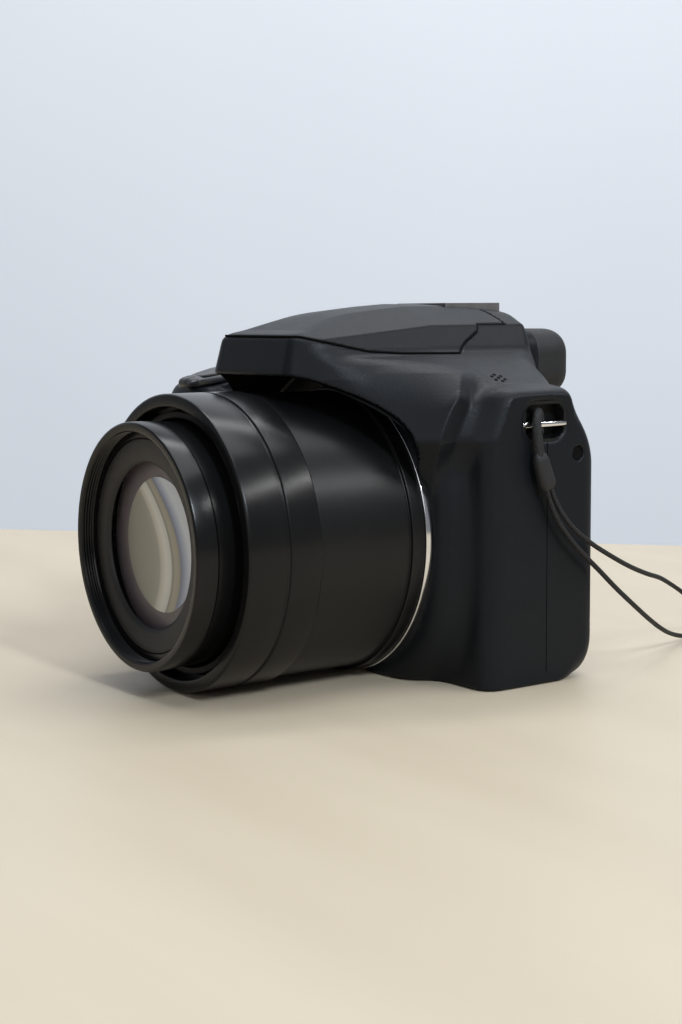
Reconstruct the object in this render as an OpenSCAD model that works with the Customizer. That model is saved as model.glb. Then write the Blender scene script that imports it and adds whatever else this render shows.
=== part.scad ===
// Bridge camera with a telescoping zoom lens, a pop-up flash and a tethered lens cap.
// Millimetres. X to the right seen from the front, Y to the back, Z up.
// The origin is the mouth of the tripod socket, below the lens axis.

/* [Body shell] */
// Overall width of the body
body_w = 130.2; // [126:0.1:138]
// How far the right side stands out beyond the collar
side_step = 3; // [2:0.5:5]
// Height of the top deck above the barrel
deck_rise = 0.4; // [0.2:0.1:2]
// From the tripod axis forward to the front wall
body_front = 11; // [9:0.5:14]
// From the tripod axis back to the rear face
body_rear = 26; // [25.5:0.5:29]
// Wall of the shells
wall = 2; // [1.6:0.1:2.4]
// Gap between neighbouring shells
seam = 0.3; // [0.2:0.05:0.4]
// Parting plane between the front and the rear cover
split_y = 8.4; // [7:0.1:10]
// From the deck down to the seam below the top cover
seam_drop = 11; // [10:0.5:13]
// Radius of the front right corner
front_corner_r = 9; // [6:0.5:10]
// Radius of the rear corners
rear_corner_r = 5; // [4:0.5:7]
// Height of the slope at the top of the rear face
slope_h = 19; // [17:0.5:21]
// Depth of that slope at the deck
slope_d = 10; // [8:0.5:12]

/* [Grip] */
// Width of the grip
grip_w = 31; // [30.5:0.5:33]
// From the tripod axis forward to the front of the grip
grip_d = 36; // [34:0.5:40]
// Radius of the grip's front corners
grip_r = 12; // [8:0.5:13]

/* [Hump] */
// From the tripod axis forward to the lower edge of the nose
nose_d = 49.2; // [46:0.2:52]
// Width of the nose
nose_w = 40.5; // [36:0.5:42]
// Height of the nose's lower edge above the barrel
nose_clear = 4.7; // [4:0.1:6]
// Height of the nose's face below the flash lid
nose_h = 9.7; // [9:0.1:10.5]
// Corner radius of the nose
nose_r = 6; // [4:0.5:8]
// Height of the flash lid above the nose's face
roof_h = 8.6; // [8:0.1:9.5]
// Half width of the flat top of the hump
roof_half = 9.5; // [9:0.25:10]

/* [Lens] */
// Height of the barrel above the base
lens_lift = 1; // [1:0.1:2]
// Width of the collar round the barrel
collar_w = 10.2; // [9.5:0.1:11]
// From the tripod axis forward to the collar's face
collar_d = 19.4; // [18:0.2:21]
// Outer radius of the fixed barrel
barrel_r = 36.8; // [36.4:0.1:37.2]
// Wall of the fixed barrel
barrel_wall = 1.6; // [1.4:0.1:1.8]
// From the tripod axis forward to the front of the outer ring
lens_reach = 72.8; // [70:0.2:76]
// Length of the outer front ring
ring_len = 22.1; // [20:0.1:24]
// How far the outer front ring stands proud of the barrel
ring_step = 0.8; // [0.5:0.1:1]
// How far the bright trim ring stands proud of the barrel
trim_step = 1.2; // [1:0.1:1.6]
// Wall of the cam barrel
cam_wall = 1.3; // [1.1:0.1:1.5]
// Wall of the middle barrel
mid_wall = 1.8; // [1.6:0.1:2]
// Wall of the front barrel
front_wall = 1.6; // [1.4:0.1:1.8]
// Radial clearance between sliding barrels
slide_gap = 0.35; // [0.3:0.05:0.4]
// How far the front barrel stands out of the ring at rest
front_proud = 10.3; // [8:0.1:11]
// Bore of the filter thread
filter_r = 28.6; // [28.4:0.1:28.8]
// Radius of the glass seen in the name ring
glass_r = 19.8; // [18:0.2:21]

/* [Finder and display] */
// Half width of the eyecup
cup_half = 17.5; // [17:0.25:18]
// From the tripod axis back to the end of the eyecup
cup_reach = 47.4; // [44:0.2:48]
// From the left side to the display window
window_left = 50.2; // [49:0.1:54]
// From the display window to the right side
window_right = 8; // [6:0.5:12]
// Height of the display window
window_h = 52; // [48:0.5:53]
// Thickness of the display window
window_t = 1.4; // [1:0.1:1.6]

/* [Controls] */
// Radius of the mode dial
mode_r = 9.5; // [8.5:0.1:9.6]
// Radius of the shutter button
shutter_r = 6; // [5:0.1:6.4]
// Radius of the small round buttons
button_r = 3; // [2.6:0.1:3.4]
// Radius of the cursor pad
pad_r = 11; // [10:0.1:12]
// Radial clearance round a button
button_gap = 0.2; // [0.15:0.05:0.3]

/* [Pins and mounts] */
// Radius of the hinge pins
pin_r = 0.8; // [0.7:0.05:0.9]
// Radial running clearance of pins and shafts
run_gap = 0.05; // [0.03:0.01:0.08]
// Bore of the tripod thread
tripod_r = 2.6; // [2.5:0.05:2.7]
// Depth of the tripod thread
tripod_depth = 5.5; // [5:0.1:6]
// Inner width of the accessory shoe
shoe_w = 18.7; // [18.6:0.1:18.9]

/* [Tether] */
// Diameter of the tether cord
cord_d = 1.3; // [1:0.1:1.5]
// Wall of the lens cap
cap_wall = 1.8; // [1.5:0.1:2.2]

/* [Hidden] */
$fn = 64;

// Far limit of cutting blocks
far = 200;
// Lens axis, collar and trim ring
axis_z = barrel_r + lens_lift;
collar_r = barrel_r + collar_w;
trim_r = barrel_r + trim_step;
// Heights of the deck, of the seam and of the rear slope
deck_z = axis_z + barrel_r + deck_rise;
seam_z = deck_z - seam_drop;
slope_z = deck_z - slope_h;
// Heights of the hump
nose_low = axis_z + barrel_r + nose_clear;
nose_high = nose_low + nose_h;
roof_z = nose_high + roof_h;
// Sides of the body and inner side of the grip
body_right = collar_r + side_step;
body_left = body_right - body_w;
grip_in = body_left + grip_w;
// Positions along the lens
y_collar = -collar_d;
y_ring = -lens_reach;
y_ring_back = y_ring + ring_len;
y_front = y_ring - front_proud;
y_base = -9.7;
base_t = 4;
joint_gap = 0.2;
// Radii of the nested barrels
barrel_ri = barrel_r - barrel_wall;
cam_ro = barrel_ri - slide_gap;
cam_ri = cam_ro - cam_wall;
mid_ro = cam_ri - slide_gap;
mid_ri = mid_ro - mid_wall;
front_ro = mid_ri - 2 * slide_gap;
front_ri = front_ro - front_wall;
rim_r = front_ro + slide_gap;
// Hinge of the flash lid
hinge_y = 14;
hinge_z = roof_z - 6.4;
arm_r = 5.4;
shoe_half = shoe_w / 2 + 1.35;
arm_in = shoe_half + 0.6;
arm_out = arm_in + 8.7;
lid_pin_r = 1;
lid_pin_half = arm_out - 1;
lid_gap = 0.3;
shoe_y = 7;
shoe_top = roof_z - 0.2;
shoe_floor = shoe_top - 4.1;
well_r = 10.5;

// A block between two corners
module span(a, b) {
    translate(a) cube(b - a);
}

// A flat outline in X and Z, drawn out along Y
module along_y(y0, y1) {
    translate([0, y1, 0]) rotate([90, 0, 0]) linear_extrude(y1 - y0) children();
}

// A flat outline in Y and Z, drawn out along X
module along_x(x0, x1) {
    translate([x0, 0, 0]) rotate([90, 0, 90]) linear_extrude(x1 - x0) children();
}

// A rectangle with rounded corners
module round_rect(a, b, r) {
    translate([a[0] + r, a[1]]) square([b[0] - a[0] - 2 * r, b[1] - a[1]]);
    translate([a[0], a[1] + r]) square([b[0] - a[0], b[1] - a[1] - 2 * r]);
    for (x = [a[0] + r, b[0] - r], y = [a[1] + r, b[1] - r]) translate([x, y]) circle(r);
}

// A disc about the lens axis
module lens_disc(r, y0, y1) {
    along_y(y0, y1) translate([0, axis_z]) circle(r);
}

// A tube about the lens axis
module lens_tube(ro, ri, y0, y1) {
    along_y(y0, y1) translate([0, axis_z]) difference() {
        circle(ro);
        circle(ri);
    }
}

// A rod along X
module x_rod(x0, x1, y, z, r) {
    along_x(x0, x1) translate([y, z]) circle(r);
}

// A rod along Y
module y_rod(x, z, y0, y1, r) {
    along_y(y0, y1) translate([x, z]) circle(r);
}

// A rod along Z
module z_rod(x, y, z0, z1, r) {
    translate([x, y, z0]) cylinder(r = r, h = z1 - z0);
}

// Both sides of the lens axis
module both_sides() {
    children();
    mirror([1, 0, 0]) children();
}

// Main block of the body, drawn in by i
module main_form(i) {
    corners = [[body_right, -body_front, front_corner_r, 1, -1], [body_right, body_rear, rear_corner_r, 1, 1],
        [body_left, body_rear, rear_corner_r, -1, 1], [body_left, -body_front, rear_corner_r, -1, -1]];
    intersection() {
        translate([0, 0, i]) linear_extrude(deck_z - 2 * i) {
            for (c = corners) translate([c[0] - c[3] * c[2], c[1] - c[4] * c[2]]) circle(c[2] - i);
            polygon([for (k = [0:3], e = [0, 1]) let(c = corners[k], swap = (k + e) % 2)
                [c[0] - c[3] * (swap == 0 ? c[2] : i), c[1] - c[4] * (swap == 0 ? i : c[2])]]);
        }
        along_x(-far, far) polygon([[-far, 0], [body_rear + 1, 0], [body_rear + 1, slope_z - i],
            [body_rear - slope_d - i, deck_z - i + 1], [-far, deck_z - i + 1]]);
    }
}

// Grip, drawn in by i
module grip_form(i) {
    intersection() {
        translate([0, 0, i]) linear_extrude(deck_z - 2 * i) {
            for (x = [body_left + grip_r, grip_in - grip_r]) translate([x, -grip_d + grip_r]) circle(grip_r - i);
            translate([body_left + grip_r, i - grip_d]) square([grip_w - 2 * grip_r, grip_d]);
            translate([body_left + i, -grip_d + grip_r]) square([grip_w - 2 * i, grip_d - grip_r + i]);
        }
        along_x(-far, far) polygon([[-grip_d - 1, 0], [far, 0], [far, far], [-grip_d + 7 + i, far],
            [-grip_d + 7 + i, deck_z - i], [-grip_d - 1 + i, deck_z - 11 - i], [-grip_d - 1, deck_z - 11 - i]]);
    }
}

// Collar round the lens, drawn in by i
module collar_form(i) {
    intersection() {
        lens_disc(collar_r - i, y_collar + i, 5);
        span([-far, -far, i], [far, far, deck_z]);
    }
}

// Lower line of the hump, at the shoulder and at the collar
hump_low = [seam_z - 1, seam_z - 10];
hump_low_y = [-12, y_collar];

// Right half of the hump's plan outline, drawn in by i
function hump_plan(i) = concat(
    [for (a = [-90:15:-45])
        [nose_w / 2 - nose_r + (nose_r - i) * cos(a), -nose_d + nose_r + (nose_r - i) * sin(a)]],
    [[collar_r - i, collar_r - nose_w / 2 - nose_d + nose_r * (2 - sqrt(2)) + i * (sqrt(2) - 1)],
    [body_right - 0.4 - i, -6], [body_right - 0.4 - i, body_rear - 10.5 - i],
    [body_right - 4 - i, body_rear - 8.2 - i], [body_right - 14 - i, body_rear - 3.2 - i],
    [body_right - 26 - i, body_rear - i]]);

// Right half of the hump's front outline, drawn in by i
function hump_front(i) = [[body_right - 0.4 - i, 0], [body_right - 0.4 - i, deck_z - 0.5 - i],
    [body_right - 11 - i, deck_z + 2.6 - i], [body_right - 20.6 - i, deck_z + 6.2 - i],
    [body_right - 25.5 - i, nose_high - 4.4 - i], [roof_half + 11.5 - i, roof_z - 6.6 - i],
    [roof_half + 6.5 - i, roof_z - 2.4 - i], [roof_half - i, roof_z - i]];

// Side outline of the hump, drawn in by i
function hump_side(i) = [[-nose_d + i, hump_low[1] + i], [-nose_d + i, nose_low], [-nose_d + 2.4 + i, nose_high],
    [-nose_d + 3 + i, nose_high + 0.4 - i], [-nose_d + 8.2 + i, nose_high + 1.3 - i],
    [-nose_d + 14.7 + i, nose_high + 3.1 - i], [-nose_d + 21.2 + i, roof_z - 3.4 - i],
    [-nose_d + 34.2 + i, roof_z - 0.8 - i], [-2 + i, roof_z - i], [shoe_y, roof_z - i],
    [body_rear - i, roof_z - 2.6 - i], [body_rear - i, hump_low[0] + i], [hump_low_y[0], hump_low[0] + i],
    [hump_low_y[1], hump_low[1] + i]];

// A half outline with its mirror image
function both(half) = concat(half, [for (k = [len(half) - 1:-1:0]) [-half[k][0], half[k][1]]]);

// Hump with the nose over the lens, drawn in by i
module hump_form(i) {
    difference() {
        intersection() {
            linear_extrude(far) polygon(both(hump_plan(i)));
            along_y(-far, far) polygon(both(hump_front(i)));
            along_x(-far, far) polygon(hump_side(i));
        }
        intersection() {
            lens_disc(collar_r - 0.3 + i, -far, y_collar + i);
            span([-far, -far, 0], [far, far, nose_low + i]);
        }
    }
}

// Whole outer form, drawn in by i
module body_form(i) {
    main_form(i);
    grip_form(i);
    collar_form(i);
    hump_form(i);
}

// Room of the top cover, drawn out by g behind and below
module top_room(g) {
    along_x(-far, far) polygon([[-far, seam_z - g], [split_y + g, seam_z - g], [split_y + g, deck_z - 1.6 - g],
        [split_y + 5.4 + g, deck_z + 0.4 - g], [body_rear - 4 + g, deck_z + 7], [body_rear + g, nose_high + 1],
        [body_rear + g, far], [-far, far]]);
}

// Room of the flash lid, drawn out by g
module lid_room(g) {
    difference() {
        along_x(-far, far) polygon([[-far, nose_high - g], [-nose_d + 4.6, nose_high - g],
            [-nose_d + 14.2, nose_high - 2.1 - g], [-nose_d + 21, nose_high - 3.6 - g],
            [-nose_d + 31, nose_high - 4.3 - g], [g, nose_high - 4.6 - g], [3.6 + g, nose_high - 1.8 - g],
            [hinge_y - 5 + g, hinge_z - 1.2 - g], [hinge_y - 4 + g, hinge_z + 1.2], [hinge_y - 4 + g, far],
            [-far, far]]);
        x_rod(-arm_in + g, arm_in - g, hinge_y, hinge_z, well_r - g);
    }
    both_sides() {
        span([arm_in - g, 3, hinge_z - arm_r - g], [arm_out + g, hinge_y, far]);
        x_rod(arm_in - g, arm_out + g, hinge_y, hinge_z, arm_r + g);
    }
}

// Cups and bars of the strap lugs
lug_y = [0.6, 15];
lug_z = [deck_z - 12.8, deck_z - 2.4];
lug_depth = 5;
lug_bar_z = deck_z - 8.3;
lug_bar_r = 0.9;

// Hole for a lug cup on one side
module lug_hole(g) {
    for (x = [body_right - lug_depth - g, body_left - 1])
        along_x(x, x + lug_depth + 1 + g)
            round_rect([lug_y[0] - g, lug_z[0] - g], [lug_y[1] + g, lug_z[1] + g], 3 + g);
}

// Opening of the battery door, its hinge and its plate
door_x = [body_left + 3.4, grip_in - 1.3];
door_y = [7 - grip_d, 12];
door_t = 1.8;
door_hinge_x = grip_in - 1.2;
door_hinge_z = 1.2;
knuckle_r = 1.15;
knuckle_y = [-9, 4];
pin_over = 2.5;

// Opening of the port door on the left side
port_y = [split_y + 1.6, body_rear - 6.8];
port_z = [24, 50];
port_t = 1.6;
port_pin_r = 0.5;
port_hinge_x = body_left + 1;

// Base opening
base_a = [grip_in + 11.2, 2 - body_front];
base_b = [body_right - 8, body_rear - 7];
base_plate_t = 2;

// Radius and height of the fixed pivot bosses
boss_r = 2.5;
// How far the bosses of the battery door reach over its hinge line
boss_in = 2;

// Front cover with collar, front of the grip and the throat for the lens
module front_cover() {
    color("#26272b") difference() {
        intersection() {
            body_form(0);
            span([-far, -far, 0], [far, split_y - seam / 2, seam_z - seam / 2]);
        }
        difference() {
            body_form(wall);
            span([door_hinge_x - boss_in, knuckle_y[0] - pin_over, 0],
                [door_hinge_x + boss_r, knuckle_y[0] - joint_gap, wall + 1.5]);
            span([door_hinge_x - boss_in, knuckle_y[1] + joint_gap, 0],
                [door_hinge_x + boss_r, knuckle_y[1] + pin_over, wall + 1.5]);
        }
        lens_disc(barrel_r + joint_gap, -far, 0);
        base_room(joint_gap);
        door_room();
        lug_hole(joint_gap);
        along_y(-far, -grip_d + grip_r) pad_outline(joint_gap);
    }
}

// Room of the base plate
module base_room(g) {
    translate([0, 0, -1]) linear_extrude(base_plate_t + 1)
        round_rect(base_a - [g, g], base_b + [g, g], 3);
}

// Room of the battery door and of its hinge
module door_room() {
    for (y = [[door_y[0] - lid_gap, knuckle_y[0] - joint_gap], [knuckle_y[1] + joint_gap, door_y[1] + lid_gap]])
        span([door_x[0] - lid_gap, y[0], -1], [door_hinge_x - boss_in, y[1], wall + 1]);
    span([door_x[0] - lid_gap, knuckle_y[0] - joint_gap, -1],
        [door_hinge_x + knuckle_r + 0.5, knuckle_y[1] + joint_gap, wall + 2]);
    y_rod(door_hinge_x, door_hinge_z, knuckle_y[0] - pin_over + 0.4, knuckle_y[1] + pin_over - 0.4,
        pin_r + run_gap / 2);
}

// Rear cover with the finder block
finder_half = 18.5;
finder_z = [roof_z - 28.6, roof_z - 6.4];
finder_end = body_rear + 8;
finder_hole = [[-10.2, roof_z - 23.1], [10.2, roof_z - 10]];
window_x = body_left + window_left;
window_w = body_w - window_left - window_right;
window_z = 7;
dioptre_y = body_rear + 4.6;
dioptre_z = roof_z - 15.6;
dioptre_shaft = 1.5;
wheel_x = body_left + 10.2;
wheel_y = body_rear - 7.4;
wheel_z = [slope_z + 2, slope_z + 6];
wheel_r = 6.8;
wheel_pin_r = 1;

module rear_cover() {
    color("#26272b") difference() {
        union() {
            difference() {
                intersection() {
                    body_form(0);
                    span([-far, split_y + seam / 2, 0], [far, far, far]);
                }
                body_form(wall);
            }
            along_y(body_rear - wall - 1, finder_end)
                round_rect([-finder_half, finder_z[0]], [finder_half, finder_z[1]], 4);
            for (b = [[wheel_z[0] - 3, body_rear - 2], [wheel_z[1] + 0.4, body_rear - 5.4]])
                span([wheel_x - 2, wheel_y - 1.6, b[0]], [wheel_x + 2, b[1], b[0] + 2.6]);
            for (p = [[body_left + 40.2, 14], [body_left + 40.2, 42], [body_left + 5.2, 22]])
                y_rod(p[0], p[1], key_y + 1.2, body_rear - wall + 0.5, 1.6);
        }
        top_room(seam);
        base_room(joint_gap);
        door_room();
        lug_hole(joint_gap);
        along_y(10, far) round_rect(finder_hole[0], finder_hole[1], 1);
        along_y(body_rear - 1.2, far) round_rect([window_x - joint_gap, window_z - joint_gap],
            [window_x + window_w + joint_gap, window_z + window_h + joint_gap], 2);
        span([window_x + 3, 10, window_z + 4], [window_x + window_w - 3, far, window_z + window_h - 3]);
        for (b = buttons) y_rod(b[0], b[1], body_rear - wall - 1, far, button_r + button_gap);
        y_rod(pad_c[0], pad_c[1], body_rear - wall - 1, far, pad_r + button_gap);
        span([wheel_x - wheel_r - 0.4, wheel_y + 1.4, wheel_z[0] - 0.3],
            [wheel_x + wheel_r + 0.4, far, wheel_z[1] + 0.3]);
        z_rod(wheel_x, wheel_y, wheel_z[0] - 2.6, wheel_z[1] + 2.8, wheel_pin_r + run_gap / 5);
        x_rod(-finder_half - 1, -finder_half + 5, dioptre_y, dioptre_z, dioptre_shaft + run_gap);
        span([body_left - 1, port_y[0] - lid_gap, port_z[0] - lid_gap],
            [body_left + wall + 1, port_y[1] + lid_gap + 0.4, port_z[1] + lid_gap]);
        z_rod(port_hinge_x, port_y[1] - 1, port_z[0] - 2, port_z[1] + 2, port_pin_r + run_gap / 2);
        for (s = screw_side) x_rod(body_right - 1.2, far, s[0], s[1], 1.7);
        switch_slot();
    }
}

// Top cover with the nose, the shoulders and the deck
shutter_c = [body_left + 18.2, 15 - grip_d];
shutter_z = deck_z + 0.8;
shutter_tilt = 14.5;
lever_reach = 12.2;
mode_c = [body_left + 22.7, 4];
switch_x = [body_left + 8.4, body_left + 11.6];
switch_y = [2, 13];
deck_buttons = [[body_left + 7.2, -7], [body_left + 24.6, -9.3]];
lid_button = [17 - body_right, -2];
lid_button_r = 2.5;
speaker_c = [body_right - 10.5, 1];
speaker_hole_r = 0.45;
mode_shaft = 2;
lever_shaft = 4;
shutter_shaft = 3.2;
pedestal_z = roof_z - 8.4;
deck_cut = deck_z - 15;

// Frame of the release, tilted to the front, with its origin on the pedestal's face
module on_shutter() {
    translate([shutter_c[0], shutter_c[1], shutter_z]) rotate([shutter_tilt, 0, 0]) children();
}

// Slot for the stem of the power switch
module switch_slot() {
    span([switch_x[0] + 0.6, switch_y[0] - 0.3, deck_cut], [switch_x[1] - 0.6, switch_y[1] + 0.3, far]);
}

module top_cover() {
    color("#26272b") difference() {
        union() {
            difference() {
                intersection() {
                    body_form(0);
                    top_room(0);
                }
                body_form(wall);
                lid_room(lid_gap);
            }
            span([-arm_in + lid_gap, shoe_y + 0.4, pedestal_z], [arm_in - lid_gap, body_rear - 1, shoe_floor]);
            on_shutter() z_rod(0, 0, -5, 0, shutter_r + 3.4);
        }
        span([-shoe_half - joint_gap / 2, -far, shoe_floor], [shoe_half + joint_gap / 2, far, far]);
        lens_disc(barrel_r + joint_gap, -far, 0);
        x_rod(-lid_pin_half, lid_pin_half, hinge_y, hinge_z, lid_pin_r);
        along_y(10, far) round_rect(finder_hole[0], finder_hole[1], 1);
        lug_hole(joint_gap);
        y_rod(lamp_c[0], lamp_c[1], -far, -body_front - 2, lamp_r + 0.1);
        z_rod(mode_c[0], mode_c[1], deck_cut, far, mode_shaft + run_gap);
        on_shutter() z_rod(0, 0, -15, far, lever_shaft + button_gap);
        on_shutter() z_rod(0, 0, 0, 15, lever_reach + 0.4);
        switch_slot();
        for (b = deck_buttons) z_rod(b[0], b[1], deck_cut, far, button_r + button_gap);
        z_rod(lid_button[0], lid_button[1], deck_cut, far, lid_button_r + button_gap);
        for (a = [0:60:300])
            z_rod(speaker_c[0] + 1.7 * cos(a), speaker_c[1] + 1.7 * sin(a), deck_cut, far, speaker_hole_r);
        z_rod(speaker_c[0], speaker_c[1], deck_cut, far, speaker_hole_r);
    }
}

// Base plate round the tripod socket
socket_r = 5.5;
socket_h = 7;

module base_plate() {
    color("#1f2023") difference() {
        linear_extrude(base_plate_t) round_rect(base_a, base_b, 3);
        z_rod(0, 0, -1, far, socket_r);
        for (s = screw_base) z_rod(s[0], s[1], -1, 1.2, 1.8);
    }
}

// Outline of the rubber pad on the front of the grip, drawn out by g
module pad_outline(g) {
    round_rect([body_left + 5 - g, 8 - g], [grip_in - 6 + g, slope_z + g], 6);
}

module grip_pad() {
    color("#18191b") difference() {
        intersection() {
            grip_form(0);
            along_y(-far, -grip_d + grip_r) pad_outline(0);
        }
        grip_form(wall);
    }
}

// Window of the focus lamp beside the grip
lamp_c = [grip_in - 6.8, deck_z - 7.4];
lamp_r = 2.4;

module af_lamp_window() {
    color("#7a2f22") difference() {
        intersection() {
            grip_form(0);
            y_rod(lamp_c[0], lamp_c[1], -far, -body_front, lamp_r);
        }
        grip_form(wall);
    }
}

// Fixed barrel of the lens with the step in front of the trim ring
step_len = 4.2;

module lens_barrel() {
    color("#1c1d20") difference() {
        union() {
            lens_disc(barrel_r, y_ring_back + joint_gap, y_base - joint_gap / 2);
            lens_disc(barrel_r + 0.9, y_collar - 1.4 - step_len, y_collar - 1.4);
        }
        lens_disc(barrel_ri, -far, 0);
    }
}

// Outer front ring with its adaptor thread and a shallow groove
thread_depth = 5.3;
lip_len = 2;

module lens_front_ring() {
    color("#1c1d20") difference() {
        lens_disc(barrel_r + ring_step, y_ring, y_ring_back);
        lens_disc(barrel_ri - 0.8, y_ring - 1, y_ring + thread_depth);
        lens_disc(mid_ro + slide_gap, y_ring - 1, y_ring_back + 1);
        lens_disc(barrel_ri, y_ring + thread_depth + lip_len, y_ring_back + 1);
        lens_tube(barrel_r + 2, barrel_r + ring_step - 0.4, y_ring + 11.8, y_ring + 12.7);
    }
}

module trim_ring() {
    color("silver") lens_tube(trim_r, barrel_r + 0.1, y_collar - 1.2, y_collar);
}

module cam_barrel() {
    color("#3a3b3f") lens_tube(cam_ro, cam_ri, y_ring + thread_depth + lip_len + 0.5, y_base - 1);
}

// Middle barrel
mid_back = -25;

module middle_barrel() {
    color("#1c1d20") lens_tube(mid_ro, mid_ri, y_ring + 2.8, mid_back);
}

// Front barrel with rim, groove, filter thread and lens cell
front_back = -34;
rim_len = 5.8;
thread_len = 3.6;
seat_r = filter_r - 1.6;
cell_r = seat_r - 2.9;

module front_barrel() {
    color("#1c1d20") difference() {
        union() {
            lens_disc(front_ro, y_front + 1, front_back);
            lens_disc(rim_r, y_front, y_front + rim_len);
        }
        lens_disc(filter_r, y_front - 1, y_front + thread_len);
        lens_disc(seat_r, y_front - 1, y_front + thread_len + 1.3);
        lens_disc(cell_r, y_front - 1, 0);
        lens_disc(front_ri, y_front + 13, 0);
    }
}

module name_ring() {
    color("#111214") lens_tube(seat_r - 0.1, glass_r, y_front + thread_len + 0.1, y_front + thread_len + 1.2);
}

// A lens bulging to the front, from y0 to y1
module glass(r, y0, y1, ball) {
    intersection() {
        lens_disc(r, y0 - 1, y1);
        translate([0, y0 + ball, axis_z]) rotate([90, 0, 0]) sphere(ball);
    }
}

module front_lens() {
    color("#55506a", 0.5) glass(cell_r - 0.1, y_front + thread_len + 0.1, y_front + 8.5, 105);
}

// Zoom lens in its holder, carried by the middle barrel
module zoom_group() {
    color("#1c1d20") lens_tube(mid_ri - 0.1, 10, mid_back - 2.6, mid_back - 0.2);
    color("#8fa0a8", 0.5) glass(9.9, mid_back - 4.5, mid_back + 1, 30);
}

// Focus lens on two guide rods
rod_r = 1;
rod_x = 13;
focus_y = [-15.5, -12.5];

module focus_group() {
    color("#1c1d20") difference() {
        lens_tube(16, 8, focus_y[0], focus_y[1]);
        for (x = [-rod_x, rod_x]) y_rod(x, axis_z, -far, 0, rod_r + run_gap);
    }
    color("#8fa0a8", 0.5) glass(7.9, focus_y[0] - 0.5, focus_y[1] + 0.5, 25);
}

// Rear plate of the lens with the guide rods
module lens_base() {
    color("#3a3b3f") {
        lens_tube(axis_z - base_plate_t, 9, y_base, y_base + base_t);
        for (x = [-rod_x, rod_x]) y_rod(x, axis_z, focus_y[0] - 4, y_base + 1, rod_r);
    }
}

// Image sensor on its board
module image_sensor() {
    color("#30404a") span([-8, y_base + base_t + 0.1, axis_z - 7], [8, y_base + base_t + 1.6, axis_z + 7]);
    color("#2f6b3a") span([-13, y_base + base_t + 1.7, axis_z - 12], [13, y_base + base_t + 2.9, axis_z + 12]);
}

// Zoom motor beside the fixed barrel
motor_r = (collar_w - wall - 1) / 2;

module zoom_motor() {
    color("#8c8f94") rotate_about_lens(-135) y_rod(barrel_r + 0.6 + motor_r, axis_z, -16.5, -2, motor_r);
}

// Turn about the lens axis
module rotate_about_lens(a) {
    translate([0, 0, axis_z]) rotate([0, -a, 0]) translate([0, 0, -axis_z]) children();
}

// Chassis plate with posts to the lens and to the main board
chassis_y = [0.5, 1.7];
board_y = 6.5;
board_top = seam_z - 4;
key_y = body_rear - 6.1;

module chassis() {
    color("#9a9ca0") {
        span([cell_b[0] + holder_t + 0.4, chassis_y[0], socket_h + 2], [body_right - 5, chassis_y[1], board_top]);
        for (a = [35, 145, 215, 325]) rotate_about_lens(a)
            y_rod(barrel_r - 5, axis_z, y_base + base_t, chassis_y[0] + 0.5, boss_r);
        for (x = [window_x - 8, body_right - 12], z = [14, board_top - 6])
            y_rod(x, z, chassis_y[1] - 0.5, board_y - 0.1, 2);
    }
}

// Main board, key board, flash capacitor and speaker
module electronics() {
    color("#2f6b3a") {
        span([window_x - 12, board_y, 8], [body_right - 4, board_y + 1.4, board_top]);
        span([body_left + 3.2, key_y, 5], [window_x - 5, key_y + 1.1, slope_z - 3]);
    }
    color("#222a44") z_rod(body_right - wall - 5.4, body_rear - 11, 4, 40, 5);
    color("#55575c") z_rod(speaker_c[0], speaker_c[1], deck_z - 4.8, deck_z - 1.8, 4.4);
}

module tripod_socket() {
    color("#b08d4a") difference() {
        z_rod(0, 0, 0, socket_h, socket_r - 0.05);
        z_rod(0, 0, -1, tripod_depth, tripod_r);
    }
}

// Battery and its holder in the grip
cell_a = [body_left + 6.7, 9 - grip_d, 4.5];
cell_b = [grip_in - 4.3, 8, 50];
holder_t = 1;
holder_o = holder_t + joint_gap;

module battery_holder() {
    color("#3a3b3f") difference() {
        span(cell_a - [holder_o, holder_o, 0.5], cell_b + [holder_o, holder_o, holder_o]);
        span(cell_a - [joint_gap, joint_gap, 2], cell_b + [joint_gap, joint_gap, joint_gap]);
    }
}

module battery() {
    color("#4a4b50") span(cell_a, cell_b);
}

// Battery door with knuckle, and its latch
latch_x = [body_left + 4.2, body_left + 12.2];
latch_y = [-15, -5];

module battery_door() {
    color("#1f2023") difference() {
        union() {
            span([door_x[0], door_y[0], 0], [door_hinge_x - 0.6, door_y[1], door_t]);
            y_rod(door_hinge_x, door_hinge_z, knuckle_y[0], knuckle_y[1], knuckle_r);
            span([door_hinge_x - 2, knuckle_y[0], 0.2], [door_hinge_x, knuckle_y[1], door_t]);
        }
        y_rod(door_hinge_x, door_hinge_z, -far, far, pin_r + run_gap);
        span([door_hinge_x - 2.6, door_y[0] - 1, -1], [far, knuckle_y[0], far]);
        span([door_hinge_x - 2.6, knuckle_y[1], -1], [far, door_y[1] + 1, far]);
        span([latch_x[0] - 0.2, latch_y[0] - 0.2, -1], [latch_x[1] + 2.8, latch_y[1] + 0.2, 1.1]);
    }
}

// Fixed pins of the flash lid, the battery door, the port door and the rear dial
module hinge_pins() {
    color("silver") {
        x_rod(-lid_pin_half, lid_pin_half, hinge_y, hinge_z, lid_pin_r - run_gap / 5);
        y_rod(door_hinge_x, door_hinge_z, knuckle_y[0] - pin_over + 0.5, knuckle_y[1] + pin_over - 0.5, pin_r);
        z_rod(port_hinge_x, port_y[1] - 1, port_z[0] - 1.9, port_z[1] + 1.9, port_pin_r);
        z_rod(wheel_x, wheel_y, wheel_z[0] - 2.5, wheel_z[1] + 2.7, wheel_pin_r);
    }
}

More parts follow.
